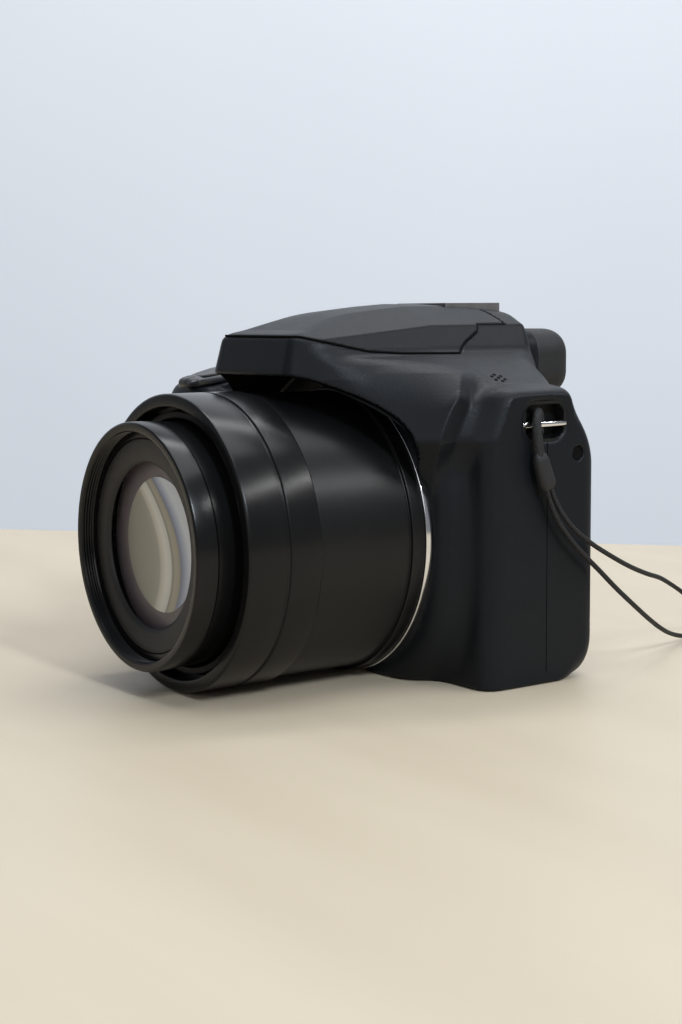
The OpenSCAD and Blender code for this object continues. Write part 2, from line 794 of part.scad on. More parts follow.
module battery_latch() {
    color("#3a3b3f") difference() {
        span([latch_x[0], latch_y[0], 0.1], [latch_x[1], latch_y[1], 1]);
        for (x = [2:2:6])
            span([latch_x[0] + x - 0.4, latch_y[0] + 2, -1], [latch_x[0] + x + 0.4, latch_y[1] - 2, 0.5]);
    }
}

// Port door and the sockets behind it
module port_door() {
    color("#1f2023") difference() {
        union() {
            span([body_left, port_y[0], port_z[0]], [body_left + port_t, port_y[1] - 1, port_z[1]]);
            z_rod(port_hinge_x, port_y[1] - 1, port_z[0], port_z[1], 1);
        }
        z_rod(port_hinge_x, port_y[1] - 1, 0, far, port_pin_r + run_gap);
    }
}

module port_sockets() {
    color("#6d7075") difference() {
        span([body_left + wall + joint_gap, port_y[0] + 0.6, port_z[0] + 2],
            [body_left + wall + 8, key_y - joint_gap, port_z[1] - 2]);
        for (z = [port_z[0] + 5, port_z[0] + 15])
            along_x(body_left, body_left + wall + 6) round_rect([port_y[0] + 3, z], [port_y[0] + 6.5, z + 7], 1);
    }
}

// Flash lid with two hinge arms
module flash_lid() {
    color("#26272b") difference() {
        intersection() {
            hump_form(0);
            lid_room(0);
        }
        difference() {
            hump_form(wall);
            both_sides() {
                span([arm_in, shoe_y - 4, hinge_z - arm_r], [arm_out, hinge_y, far]);
                x_rod(arm_in, arm_out, hinge_y, hinge_z, arm_r);
            }
        }
        x_rod(-far, far, hinge_y, hinge_z, lid_pin_r + run_gap);
    }
}

// Flash reflector head with its window, under the lid
head_y = [7.2 - nose_d, 15.2 - nose_d];
head_half = 15;
head_low = nose_low + 4.2;

module flash_head() {
    color("#1c1d20") intersection() {
        span([-head_half, head_y[0], head_low], [head_half, head_y[1], far]);
        hump_form(wall + 0.15);
    }
}

module flash_window() {
    color("#d8dde0", 0.7) intersection() {
        span([-head_half, head_y[0] - 1.6, head_low], [head_half, head_y[0] - 0.1, far]);
        hump_form(wall + 0.15);
    }
}

module flash_well() {
    color("#1c1d20") intersection() {
        span([-far, -far, nose_low + wall + 0.2], [far, 2, nose_low + wall + 1.2]);
        hump_form(wall + 0.2);
    }
}

// Accessory shoe with a stop at its front
shoe_end = body_rear;
shoe_gap_half = 6.3;

module hot_shoe() {
    color("#9a9ca0") difference() {
        span([-shoe_half, shoe_y, shoe_floor], [shoe_half, shoe_end, shoe_top]);
        span([-shoe_w / 2, shoe_y + 1.5, shoe_floor + 1.2], [shoe_w / 2, shoe_end + 1, shoe_top - 0.9]);
        span([-shoe_gap_half, shoe_y + 1.5, shoe_floor + 1.2], [shoe_gap_half, shoe_end + 1, shoe_top + 1]);
    }
}

// Eyecup, eyepiece and finder unit
cup_z = [roof_z - 26.1, roof_z - 7.4];
cup_wall = 4;

module eyecup() {
    color("#151617") difference() {
        along_y(finder_end + 0.2, cup_reach) round_rect([-cup_half, cup_z[0]], [cup_half, cup_z[1]], 5);
        along_y(finder_end - 1, cup_reach + 1)
            round_rect([-cup_half + cup_wall, cup_z[0] + cup_wall], [cup_half - cup_wall, cup_z[1] - cup_wall], 3);
    }
}

module eyepiece_lens() {
    color("#8fa0a8", 0.5) along_y(finder_end - 3, finder_end - 1)
        round_rect(finder_hole[0] + [0.1, 0.1], finder_hole[1] - [0.1, 0.1], 0.9);
}

module finder_unit() {
    color("#3a3b3f") span([finder_hole[0][0] + 0.4, 12, finder_hole[0][1] + 0.5],
        [finder_hole[1][0] - 0.4, finder_end - 3.2, finder_hole[1][1] - 0.4]);
}

module dioptre_dial() {
    color("#1c1d20") {
        x_rod(-finder_half - 2.6, -finder_half - 0.2, dioptre_y, dioptre_z, 4);
        x_rod(-finder_half - 1, -finder_half + 4.5, dioptre_y, dioptre_z, dioptre_shaft);
    }
}

// Mode dial with a knurled edge
knurls = 24;

module mode_dial() {
    color("#2c2d31") difference() {
        union() {
            z_rod(mode_c[0], mode_c[1], deck_z + 0.4, deck_z + 8.4, mode_r);
            z_rod(mode_c[0], mode_c[1], deck_z - 6, deck_z + 1, mode_shaft);
        }
        for (k = [0:knurls - 1]) let(a = 360 * k / knurls)
            z_rod(mode_c[0] + (mode_r + 0.2) * cos(a), mode_c[1] + (mode_r + 0.2) * sin(a), deck_z + 1.4, far, 0.6);
    }
}

module power_switch() {
    color("#2c2d31") {
        span([switch_x[0], switch_y[0] + 0.6, deck_z + 0.2], [switch_x[1], switch_y[0] + 6.4, deck_z + 1.8]);
        span([switch_x[0] + 0.8, switch_y[0] + 0.6, deck_z - 3],
            [switch_x[1] - 0.8, switch_y[0] + 6.4, deck_z + 1]);
    }
}

// Shutter button in the middle of the zoom lever
module shutter_button() {
    color("#85878b") on_shutter() difference() {
        union() {
            z_rod(0, 0, 2, 4.2, shutter_r);
            z_rod(0, 0, -5, 3, shutter_shaft);
        }
        translate([0, 0, 4.2 + 24.4]) sphere(25);
    }
}

module zoom_lever() {
    color("#2c2d31") on_shutter() difference() {
        union() {
            z_rod(0, 0, 0.3, 3, shutter_r + 3.2);
            translate([0, 0, 0.3]) linear_extrude(4.2)
                polygon([[-4, -7.5], [4, -7.5], [2.8, -11.8], [-2.8, -11.8]]);
            z_rod(0, 0, -4, 1, lever_shaft);
        }
        z_rod(0, 0, -far, far, shutter_shaft + run_gap);
        z_rod(0, 0, 1, far, shutter_r + button_gap);
    }
}

// Round buttons on the back, and the cursor pad
buttons = [[body_left + 36.2, slope_z - 6], [body_left + 23.2, slope_z - 6],
    [body_left + 35.2, 10], [body_left + 11.2, 10]];
pad_c = [body_left + 23.2, slope_z - 27];
set_r = 4.6;

// A round button on the deck
module deck_button(c, r, top, deep) {
    z_rod(c[0], c[1], top - deep, top, r);
    z_rod(c[0], c[1], top - deep, top - deep + 1.3, r + 0.8);
}

// A round button on the back
module back_button(c, r, proud) {
    y_rod(c[0], c[1], body_rear - wall - 1.6, body_rear + proud, r);
    y_rod(c[0], c[1], body_rear - wall - 1.6, body_rear - wall - 0.4, r + 0.7);
}

module video_button() {
    color("#2c2d31") deck_button(deck_buttons[0], button_r, deck_z + 0.9, 4.8);
}

module burst_button() {
    color("#2c2d31") deck_button(deck_buttons[1], button_r, deck_z + 0.9, 4.8);
}

module flash_open_button() {
    color("#2c2d31") deck_button(lid_button, lid_button_r, deck_z + 6, 7.1);
}

module lock_button() {
    color("#2c2d31") back_button(buttons[0], button_r, 0.9);
}

module playback_button() {
    color("#2c2d31") back_button(buttons[1], button_r, 0.9);
}

module display_button() {
    color("#2c2d31") back_button(buttons[2], button_r, 0.9);
}

module delete_button() {
    color("#2c2d31") back_button(buttons[3], button_r, 0.9);
}

module cursor_pad() {
    color("#2c2d31") difference() {
        back_button(pad_c, pad_r, 1.2);
        y_rod(pad_c[0], pad_c[1], 0, far, set_r + button_gap);
    }
}

module set_button() {
    color("#2c2d31") y_rod(pad_c[0], pad_c[1], body_rear - wall - 1.6, body_rear + 1.5, set_r);
}

module rear_dial() {
    color("#2c2d31") difference() {
        z_rod(wheel_x, wheel_y, wheel_z[0], wheel_z[1], wheel_r);
        z_rod(wheel_x, wheel_y, 0, far, wheel_pin_r + run_gap);
        for (k = [0:knurls - 1]) let(a = 360 * k / knurls)
            z_rod(wheel_x + (wheel_r + 0.2) * cos(a), wheel_y + (wheel_r + 0.2) * sin(a), 0, far, 0.5);
    }
}

// Display
module display_window() {
    color("#0c0d0f") along_y(body_rear - 1.1, body_rear - 1.1 + window_t)
        round_rect([window_x, window_z], [window_x + window_w, window_z + window_h], 1.8);
}

module display_panel() {
    color("#15181c") span([window_x + 3.3, body_rear - 4, window_z + 4.3],
        [window_x + window_w - 3.3, body_rear - 1.2, window_z + window_h - 3.3]);
}

// Strap lugs
module lug_cups() {
    color("#1f2023") for (right = [0, 1]) translate([right == 1 ? 0 : body_right + body_left, 0, 0])
        mirror([right == 1 ? 0 : 1, 0, 0]) lug_cup();
}

module lug_cup() {
    difference() {
        along_x(body_right - lug_depth, body_right - 0.4)
            round_rect([lug_y[0], lug_z[0]], [lug_y[1], lug_z[1]], 3);
        along_x(body_right - lug_depth + 1, body_right + 1)
            round_rect([lug_y[0] + 0.8, lug_z[0] + 0.8], [lug_y[1] - 0.8, lug_z[1] - 0.8], 2.2);
        y_rod(body_right - 1.2, lug_bar_z, -far, far, lug_bar_r);
    }
}

module lug_bars() {
    color("silver") for (x = [body_right - 1.2, body_left + 1.2])
        y_rod(x, lug_bar_z, lug_y[0], lug_y[1], lug_bar_r);
}

// Screws in the base and in the right side
screw_base = [for (x = [base_a[0] + 6, base_b[0] - 6], y = [base_a[1] + 6, base_b[1] - 5]) [x, y]];
screw_side = [[body_rear - 7, slope_z + 2.8]];

module case_screws() {
    color("#55575c") {
        for (s = screw_base) z_rod(s[0], s[1], 0.3, 1.2, 1.7);
        for (s = screw_side) x_rod(body_right - 1.2, body_right - 0.4, s[0], s[1], 1.6);
    }
}

// Tether: route of the cord from the sleeve to the cap, back, and round the lug bar
cap_bar = [27.4, 96.6];
cap_turn = 10;
cap_r = rim_r + 0.3 + cap_wall;
cap_bar_d = cap_r + 4.2;
cap_c = cap_bar + cap_bar_d * [sin(cap_turn), cos(cap_turn)];
cap_bar_z = 3.6;
route = [[52.4, 4.9, 53.5], [52.6, 7.9, 45.4], [53, 11.8, 39.4], [53.2, 17.7, 33.4], [53, 24, 28.2], [52, 31, 22.8],
    [49.6, 40, 17], [46, 49, 12], [41.6, 58, 7.8], [37, 67, 4.4], [33, 76, 2], [29.8, 84, 1], [27.4, 96.2, 0.9],
    [27.3, 98.6, 2.2], [27.2, 99.2, 4], [27.3, 98.4, 5.6], [27.4, 96.2, 6.3], [28, 90, 8.4], [29.6, 83, 11.6],
    [32.6, 75, 15.4], [36.8, 66.4, 18.8], [41.6, 57.6, 21.8], [46.6, 47.8, 24.4], [50.2, 38, 27.6],
    [52.4, 29, 31.4], [53.3, 20.2, 36], [53.3, 13.2, 41.2], [52.7, 8.9, 47.2], [52.3, 6.4, 53.5], [52.1, 4.4, 60.8],
    [50.8, 5.2, 63.7], [48.8, 6.6, 64.1], [47.3, 8, 65.2], [47, 8.6, 67.4], [47.7, 7.8, 69.4],
    [49.2, 5.8, 70.3], [50.7, 3.8, 69.2], [51.4, 2.9, 66], [52, 2.75, 61.4], [52.3, 3.4, 57.5]];

// A point on the smooth curve through four neighbouring points
function curve(p, q, r, s, t) = 0.5 * (2 * q + (r - p) * t + (2 * p - 5 * q + 4 * r - s) * t * t
    + (3 * q - p - 3 * r + s) * t * t * t);
last = len(route) - 1;
path = concat([for (k = [0:last - 1], t = [0, 0.5]) curve(route[max(k - 1, 0)], route[k], route[k + 1],
    route[min(k + 2, last)], t)], [route[last]]);

// Tube of eight sides swept along the points of a path
function unit(v) = v / norm(v);
module tube(pts, d) {
    n = len(pts);
    sides = 8;
    way = [for (k = [0:n - 1]) unit(pts[min(k + 1, n - 1)] - pts[max(k - 1, 0)])];
    side = [for (k = 0, v = unit(cross(way[0], [1, 0, 0])); k < n; k = k + 1,
        v = k < n ? unit(v - (v * way[k]) * way[k]) : v) v];
    ring = [for (k = [0:n - 1], j = [0:sides - 1]) let(a = 360 * j / sides)
        pts[k] + d / 2 * (cos(a) * side[k] + sin(a) * cross(way[k], side[k]))];
    faces = concat([[for (j = [0:sides - 1]) j]],
        [for (k = [0:n - 2], j = [0:sides - 1], h = [0, 1]) let(a = k * sides + j, b = k * sides + (j + 1) % sides)
            h == 0 ? [b, a, a + sides] : [b, a + sides, b + sides]],
        [[for (j = [sides - 1:-1:0]) (n - 1) * sides + j]]);
    polyhedron(ring, faces);
}

module tether_cord() {
    color("#1a1a1c") tube(path, cord_d);
}

// Rubber sleeve where the two strands come together
sleeve_top = [52.25, 3.2, 60.6];
sleeve_len = 11.4;
sleeve_w = 4.8;
sleeve_t = 3.4;

module cord_sleeve() {
    color("#141415") translate(sleeve_top) rotate([19, 0, 0]) translate([0, 0, -sleeve_len])
        linear_extrude(sleeve_len) round_rect([-sleeve_t / 2, -sleeve_w / 2], [sleeve_t / 2, sleeve_w / 2], 1.5);
}

// Lens cap lying on the table, with two ears that hold the bar for the cord
cap_h = 6.4;
cap_t = 1.6;

module lens_cap() {
    color("#1c1d20") translate([cap_c[0], cap_c[1], 0]) rotate([0, 0, -cap_turn]) {
        difference() {
            z_rod(0, 0, 0, cap_h, cap_r);
            z_rod(0, 0, -1, cap_h - cap_t, cap_r - cap_wall);
        }
        for (x = [-4.2, 3])
            span([x, -cap_bar_d - 1.3, cap_bar_z - 1.4], [x + 1.2, -cap_r + 0.6, cap_bar_z + 1.4]);
        x_rod(-3.4, 3.4, -cap_bar_d, cap_bar_z, 1.2);
    }
}

front_cover();
rear_cover();
top_cover();
base_plate();
grip_pad();
af_lamp_window();
lens_barrel();
lens_front_ring();
trim_ring();
cam_barrel();
middle_barrel();
front_barrel();
name_ring();
front_lens();
zoom_group();
focus_group();
lens_base();
image_sensor();
zoom_motor();
chassis();
electronics();
tripod_socket();
battery_holder();
battery();
battery_door();
battery_latch();
hinge_pins();
port_door();
port_sockets();
flash_lid();
flash_head();
flash_window();
flash_well();
hot_shoe();
eyecup();
eyepiece_lens();
finder_unit();
dioptre_dial();
mode_dial();
power_switch();
shutter_button();
zoom_lever();
video_button();
burst_button();
flash_open_button();
rear_dial();
lock_button();
playback_button();
display_button();
delete_button();
cursor_pad();
set_button();
display_window();
display_panel();
lug_cups();
lug_bars();
case_screws();
tether_cord();
cord_sleeve();
lens_cap();
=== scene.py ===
"""Looks of the bridge camera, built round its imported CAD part. Forms are worked out in millimetres."""
import math

import bmesh
import bpy
import numpy as np
from mathutils import Matrix, Vector


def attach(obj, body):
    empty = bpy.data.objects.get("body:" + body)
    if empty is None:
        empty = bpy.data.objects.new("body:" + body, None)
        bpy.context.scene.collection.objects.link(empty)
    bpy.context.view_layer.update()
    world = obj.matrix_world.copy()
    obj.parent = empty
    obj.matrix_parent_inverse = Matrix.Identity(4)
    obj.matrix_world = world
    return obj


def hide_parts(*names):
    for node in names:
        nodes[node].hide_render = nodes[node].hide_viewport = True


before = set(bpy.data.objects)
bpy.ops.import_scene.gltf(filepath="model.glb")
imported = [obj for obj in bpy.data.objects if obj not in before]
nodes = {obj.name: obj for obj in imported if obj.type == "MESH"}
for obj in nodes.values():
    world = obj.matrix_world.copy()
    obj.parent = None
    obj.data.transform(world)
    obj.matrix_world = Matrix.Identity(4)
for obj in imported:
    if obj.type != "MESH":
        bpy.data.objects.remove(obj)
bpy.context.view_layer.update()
MM = 0.001
AXIS_Z = 37.8

# Camera at the photograph's viewing angle
camera_data = bpy.data.cameras.new("photo_camera")
camera_data.lens = 59.77
camera_data.sensor_width = 36.0
camera_data.clip_start = 0.01
camera_data.clip_end = 20.0
camera = bpy.data.objects.new("photo_camera", camera_data)
right = Vector((0.57744, 0.81639, -0.00771))
up = Vector((-0.09121, 0.07390, 0.99309))
back = Vector((0.81132, -0.57275, 0.11713))
turn = Matrix((right, up, back)).transposed().to_4x4()
camera.matrix_world = Matrix.Translation((0.36960, -0.28125, 0.09534)) @ turn
bpy.context.scene.collection.objects.link(camera)
bpy.context.scene.camera = camera


# Node materials
def new_material(name):
    material = bpy.data.materials.new(name)
    material.use_nodes = True
    tree = material.node_tree
    shader = tree.nodes["Principled BSDF"]
    return material, tree, shader


def noise(tree, scale, detail, stretch=(1, 1, 1)):
    place = tree.nodes.new("ShaderNodeTexCoord")
    mapping = tree.nodes.new("ShaderNodeMapping")
    mapping.inputs["Scale"].default_value = stretch
    tree.links.new(place.outputs["Object"], mapping.inputs["Vector"])
    texture = tree.nodes.new("ShaderNodeTexNoise")
    texture.inputs["Scale"].default_value = scale
    texture.inputs["Detail"].default_value = detail
    tree.links.new(mapping.outputs["Vector"], texture.inputs["Vector"])
    return texture.outputs["Fac"]


def ramp(tree, value, low, high, start=0.3, end=0.7):
    node = tree.nodes.new("ShaderNodeValToRGB")
    node.color_ramp.elements[0].position = start
    node.color_ramp.elements[1].position = end
    node.color_ramp.elements[0].color = (*low, 1)
    node.color_ramp.elements[1].color = (*high, 1)
    tree.links.new(value, node.inputs["Fac"])
    return node.outputs["Color"]


def rough_range(tree, shader, value, low, high):
    node = tree.nodes.new("ShaderNodeMapRange")
    node.inputs["To Min"].default_value = low
    node.inputs["To Max"].default_value = high
    tree.links.new(value, node.inputs["Value"])
    tree.links.new(node.outputs["Result"], shader.inputs["Roughness"])


def bump(tree, shader, value, strength, depth):
    node = tree.nodes.new("ShaderNodeBump")
    node.inputs["Strength"].default_value = strength
    node.inputs["Distance"].default_value = depth
    tree.links.new(value, node.inputs["Height"])
    tree.links.new(node.outputs["Normal"], shader.inputs["Normal"])


def surface(name, low, high, rough, grain=None, metallic=0.0, level=0.5, cloud=60, stretch=(1, 1, 1)):
    """A surface with a soft colour variation, uneven roughness and a fine grain (scale, strength, depth)."""
    material, tree, shader = new_material(name)
    shader.inputs["Metallic"].default_value = metallic
    shader.inputs["Specular IOR Level"].default_value = level
    clouds = noise(tree, cloud, 4, stretch)
    tree.links.new(ramp(tree, clouds, low, high), shader.inputs["Base Color"])
    rough_range(tree, shader, noise(tree, cloud * 5, 3, stretch), rough[0], rough[1])
    if grain:
        bump(tree, shader, noise(tree, grain[0], 2, stretch), grain[1], grain[2])
    return material


def clear(name, colour, rough, ior):
    """Clear glass or plastic with faint unevenness."""
    material, tree, shader = new_material(name)
    shader.inputs["Transmission Weight"].default_value = 1.0
    shader.inputs["IOR"].default_value = ior
    shader.inputs["Base Color"].default_value = (*colour, 1)
    rough_range(tree, shader, noise(tree, 40, 2), rough, rough * 1.6)
    return material


shell_black = surface("shell_black", (0.0044, 0.0058, 0.0082), (0.0058, 0.0072, 0.0098),
                      (0.40, 0.47), (1500, 0.35, 0.00012), level=0.19)
trim_black = surface("trim_black", (0.009, 0.009, 0.010), (0.012, 0.012, 0.013),
                     (0.40, 0.50), (2200, 0.15, 0.0001), level=0.4)
button_black = surface("button_black", (0.022, 0.022, 0.024), (0.028, 0.028, 0.030),
                       (0.34, 0.44), (2500, 0.1, 0.0001))
rubber_black = surface("rubber_black", (0.010, 0.0105, 0.0115), (0.014, 0.0145, 0.0155),
                       (0.55, 0.66), (1800, 0.3, 0.0002), level=0.4)
leather_rubber = surface("leather_rubber", (0.011, 0.011, 0.0115), (0.016, 0.016, 0.0165),
                         (0.6, 0.74), (520, 0.9, 0.0006), level=0.35)
lens_satin = surface("lens_satin", (0.0036, 0.0037, 0.0040), (0.0050, 0.0051, 0.0055),
                     (0.30, 0.36), (3000, 0.06, 0.0001), level=0.30)
lens_ring = surface("lens_ring", (0.0048, 0.0048, 0.0050), (0.0064, 0.0064, 0.0067),
                    (0.21, 0.26), (2600, 0.1, 0.0001), level=0.24)
lens_inner = surface("lens_inner", (0.003, 0.003, 0.0033), (0.0045, 0.0045, 0.005),
                     (0.5, 0.6), (2600, 0.1, 0.0001), level=0.3)
name_black = surface("name_black", (0.007, 0.007, 0.0072), (0.010, 0.010, 0.0102),
                     (0.42, 0.5), (2600, 0.1, 0.0001), level=0.4)
chrome = surface("chrome", (0.74, 0.74, 0.76), (0.82, 0.82, 0.83), (0.08, 0.16), None, 1.0)
steel = surface("steel", (0.50, 0.50, 0.51), (0.60, 0.60, 0.61),
                (0.22, 0.34), (900, 0.08, 0.0001), 1.0, stretch=(1, 6, 1))
shoe_metal = surface("shoe_metal", (0.19, 0.19, 0.19), (0.24, 0.24, 0.24),
                     (0.36, 0.46), (1200, 0.1, 0.0001), 0.85, stretch=(1, 6, 1))
alloy = surface("alloy", (0.55, 0.55, 0.56), (0.62, 0.62, 0.63), (0.3, 0.42), (700, 0.1, 0.0001), 1.0)
brass = surface("brass", (0.55, 0.40, 0.18), (0.66, 0.50, 0.24), (0.25, 0.4), (800, 0.1, 0.0001), 1.0)
grey_plastic = surface("grey_plastic", (0.045, 0.045, 0.048), (0.06, 0.06, 0.063),
                       (0.42, 0.55), (2000, 0.1, 0.0001))
window_black = surface("window_black", (0.006, 0.006, 0.007), (0.008, 0.008, 0.009), (0.06, 0.1))
panel_dark = surface("panel_dark", (0.012, 0.014, 0.017), (0.018, 0.020, 0.024), (0.2, 0.3))
board_green = surface("board_green", (0.02, 0.10, 0.04), (0.04, 0.15, 0.06),
                      (0.35, 0.5), (600, 0.2, 0.0002))
cell_grey = surface("cell_grey", (0.07, 0.07, 0.075), (0.09, 0.09, 0.095), (0.4, 0.5), (1500, 0.1, 0.0001))
lamp_red = surface("lamp_red", (0.10, 0.015, 0.01), (0.14, 0.025, 0.016), (0.08, 0.14))
cord_braid = surface("cord_braid", (0.008, 0.008, 0.0085), (0.022, 0.022, 0.023),
                     (0.55, 0.75), (2400, 0.9, 0.0003), level=0.3, cloud=2600)
# Black for holes and dark gaps, and the painted shade on the sheet under the nose
hole_and_shade_black = surface("hole_and_shade_black", (0.002, 0.002, 0.002), (0.003, 0.003, 0.003), (0.8, 0.9), level=0.1)
glass_clear = clear("glass_clear", (0.93, 0.93, 0.95), 0.01, 1.52)
veil_glass = surface("veil_glass", (0.02, 0.02, 0.022), (0.025, 0.025, 0.027),
                     (0.02, 0.03), None, 0.0, 0.9, 20)
veil_glass.node_tree.nodes["Principled BSDF"].inputs["Alpha"].default_value = 0.07
# Violet-grey of an opaque disc behind the front glass: painted reflection of the surroundings on the lens front
violet_reflection = surface("violet_reflection", (0.15, 0.125, 0.135), (0.18, 0.15, 0.16),
                      (0.3, 0.36), None, 0.0, 0.5, 20)


def arcs(name, stops, bend, lean):
    """Painted reflections on the inner lens element: bright and dark arcs of reflected light across its face, as
    base colour; stops are (place in mm, colour).
    """
    material, tree, shader = new_material(name)
    place = tree.nodes.new("ShaderNodeTexCoord")
    parts = tree.nodes.new("ShaderNodeSeparateXYZ")
    tree.links.new(place.outputs["Object"], parts.inputs["Vector"])

    def maths(operation, a, b):
        node = tree.nodes.new("ShaderNodeMath")
        node.operation = operation
        for socket, value in zip(node.inputs, (a, b)):
            if isinstance(value, float):
                socket.default_value = value
            else:
                tree.links.new(value, socket)
        return node.outputs["Value"]

    across = maths("MULTIPLY", parts.outputs["X"], 1000.0)
    height = maths("MULTIPLY", maths("SUBTRACT", parts.outputs["Z"], AXIS_Z * MM), 1000.0)
    bow = maths("MULTIPLY", maths("MULTIPLY", height, height), bend)
    arc = maths("ADD", maths("ADD", across, maths("MULTIPLY", height, lean)), bow)
    low, high = stops[0][0], stops[-1][0]
    node = tree.nodes.new("ShaderNodeValToRGB")
    tree.links.new(maths("DIVIDE", maths("SUBTRACT", arc, low), high - low), node.inputs["Fac"])
    line = node.color_ramp.elements
    line[0].color = (*stops[0][1], 1)
    line[1].color = (*stops[-1][1], 1)
    for spot, colour in stops[1:-1]:
        line.new((spot - low) / (high - low)).color = (*colour, 1)
    tree.links.new(node.outputs["Color"], shader.inputs["Base Color"])
    rough_range(tree, shader, noise(tree, 90, 2), 0.26, 0.34)
    return material


# Painted reflections: grey-green, cream and bluish arcs of reflected light across the inner element
REFLECTION_STOPS = [(-17.0, (0.30, 0.29, 0.24)), (-4.0, (0.36, 0.35, 0.29)), (-1.4, (0.42, 0.40, 0.33)),
              (-0.6, (0.62, 0.59, 0.50)), (2.0, (0.80, 0.78, 0.70)), (4.5, (0.72, 0.71, 0.67)),
              (5.0, (0.30, 0.29, 0.24)), (6.4, (0.46, 0.43, 0.34)), (8.6, (0.40, 0.37, 0.29)),
              (9.2, (0.22, 0.24, 0.32)), (11.0, (0.40, 0.45, 0.58)), (14.0, (0.72, 0.76, 0.82))]
painted_reflection_arcs = arcs("painted_reflection_arcs", REFLECTION_STOPS, 0.03, 0.31)
window_clear = clear("window_clear", (0.92, 0.93, 0.93), 0.12, 1.49)

# Tether cord, on the route of its CAD solid
ROUTE = [(52.4, 4.9, 53.5), (52.6, 7.9, 45.4), (53, 11.8, 39.4), (53.2, 17.7, 33.4), (53, 24, 28.2),
         (52, 31, 22.8), (49.6, 40, 17), (46, 49, 12), (41.6, 58, 7.8), (37, 67, 4.4), (33, 76, 2),
         (29.8, 84, 1), (27.4, 96.2, 0.9), (27.3, 98.6, 2.2), (27.2, 99.2, 4), (27.3, 98.4, 5.6),
         (27.4, 96.2, 6.3), (28, 90, 8.4), (29.6, 83, 11.6), (32.6, 75, 15.4), (36.8, 66.4, 18.8),
         (41.6, 57.6, 21.8), (46.6, 47.8, 24.4), (50.2, 38, 27.6), (52.4, 29, 31.4), (53.3, 20.2, 36),
         (53.3, 13.2, 41.2), (52.7, 8.9, 47.2), (52.3, 6.4, 53.5), (52.1, 4.4, 60.8), (50.8, 5.2, 63.7),
         (48.8, 6.6, 64.1), (47.3, 8, 65.2), (47, 8.6, 67.4), (47.7, 7.8, 69.4), (49.2, 5.8, 70.3),
         (50.7, 3.8, 69.2), (51.4, 2.9, 66), (52, 2.75, 61.4), (52.3, 3.4, 57.5)]
CORD_D = 1.3


def smooth_path(points, steps):
    """Points on a smooth curve through the given ones."""
    p = np.array(points, float)
    p = np.vstack([p[0], p, p[-1]])
    found = []
    for a, b, c, d in zip(p[:-3], p[1:-2], p[2:-1], p[3:]):
        for t in np.arange(steps) / steps:
            found.append(0.5 * (2 * b + (c - a) * t + (2 * a - 5 * b + 4 * c - d) * t ** 2
                                + (3 * b - a - 3 * c + d) * t ** 3))
    found.append(p[-1])
    return np.array(found)


def curve_piece(name, points, diameter, material):
    """A round curve through points in millimetres."""
    data = bpy.data.curves.new(name, "CURVE")
    data.dimensions = "3D"
    spline = data.splines.new("POLY")
    spline.points.add(len(points) - 1)
    for spot, p in zip(spline.points, points):
        spot.co = (p[0] * MM, p[1] * MM, p[2] * MM, 1)
    data.bevel_depth = diameter / 2 * MM
    data.bevel_resolution = 3
    data.use_fill_caps = True
    data.materials.append(material)
    piece = bpy.data.objects.new(name, data)
    bpy.context.scene.collection.objects.link(piece)
    return piece


path = smooth_path(ROUTE, 4)
cord = curve_piece("tether_braid", path, CORD_D, cord_braid)
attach(cord, "body")
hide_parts("tether_cord")


# Forms as signed distances, in millimetres
def poly(u, v, points):
    """Signed distance to a closed outline, negative inside."""
    best = 1e9
    inside = np.zeros(np.broadcast(u, v).shape, bool)
    for (ax, ay), (bx, by) in zip(points, points[1:] + points[:1]):
        ex, ey = bx - ax, by - ay
        wx, wy = u - ax, v - ay
        t = np.clip((wx * ex + wy * ey) / (ex * ex + ey * ey), 0, 1)
        best = np.minimum(best, (wx - ex * t) ** 2 + (wy - ey * t) ** 2)
        if ey:
            over = (v >= ay) != (v >= by)
            inside ^= over & (u < ax + (v - ay) * ex / ey)
    return np.where(inside, -1, 1) * np.sqrt(best)


def rounded(points, radii, steps=6):
    """An outline with its corners rounded."""
    found = []
    count = len(points)
    for k, r in enumerate(radii):
        p = np.array(points[k], float)
        if r <= 0:
            found.append(tuple(p))
            continue
        a = np.array(points[k - 1], float) - p
        b = np.array(points[(k + 1) % count], float) - p
        a, b = a / np.linalg.norm(a), b / np.linalg.norm(b)
        half = math.acos(max(-1, min(1, float(a @ b)))) / 2
        reach = r / math.tan(half)
        p0, p1 = p + a * reach, p + b * reach
        for t in np.linspace(0, 1, steps):
            q = (1 - t) ** 2 * p0 + 2 * t * (1 - t) * p + t * t * p1
            found.append((float(q[0]), float(q[1])))
    return found


def both(a, b, k):
    """Common part of two forms, its edge rounded over k."""
    h = np.maximum(k - np.abs(a - b), 0) / k
    return np.maximum(a, b) + h * h * k / 4


def join(a, b, k):
    """Union of two forms, its crease filled over k."""
    return -both(-a, -b, k)


def cut(a, b, k):
    """A form less another, its edge rounded over k."""
    return both(a, -b, k)


def slab(v, low, high):
    return np.maximum(low - v, v - high)


def rect(u, v, a, b, r):
    """A rectangle with round corners."""
    cu, cv = (a[0] + b[0]) / 2, (a[1] + b[1]) / 2
    du = np.abs(u - cu) - (b[0] - a[0]) / 2 + r
    dv = np.abs(v - cv) - (b[1] - a[1]) / 2 + r
    return np.minimum(np.maximum(du, dv), 0) + np.hypot(np.maximum(du, 0), np.maximum(dv, 0)) - r


def block(x, y, z, a, b, k=0.6):
    return both(both(slab(x, a[0], b[0]), slab(y, a[1], b[1]), k), slab(z, a[2], b[2]), k)


def disc(u, v, c, r):
    return np.hypot(u - c[0], v - c[1]) - r


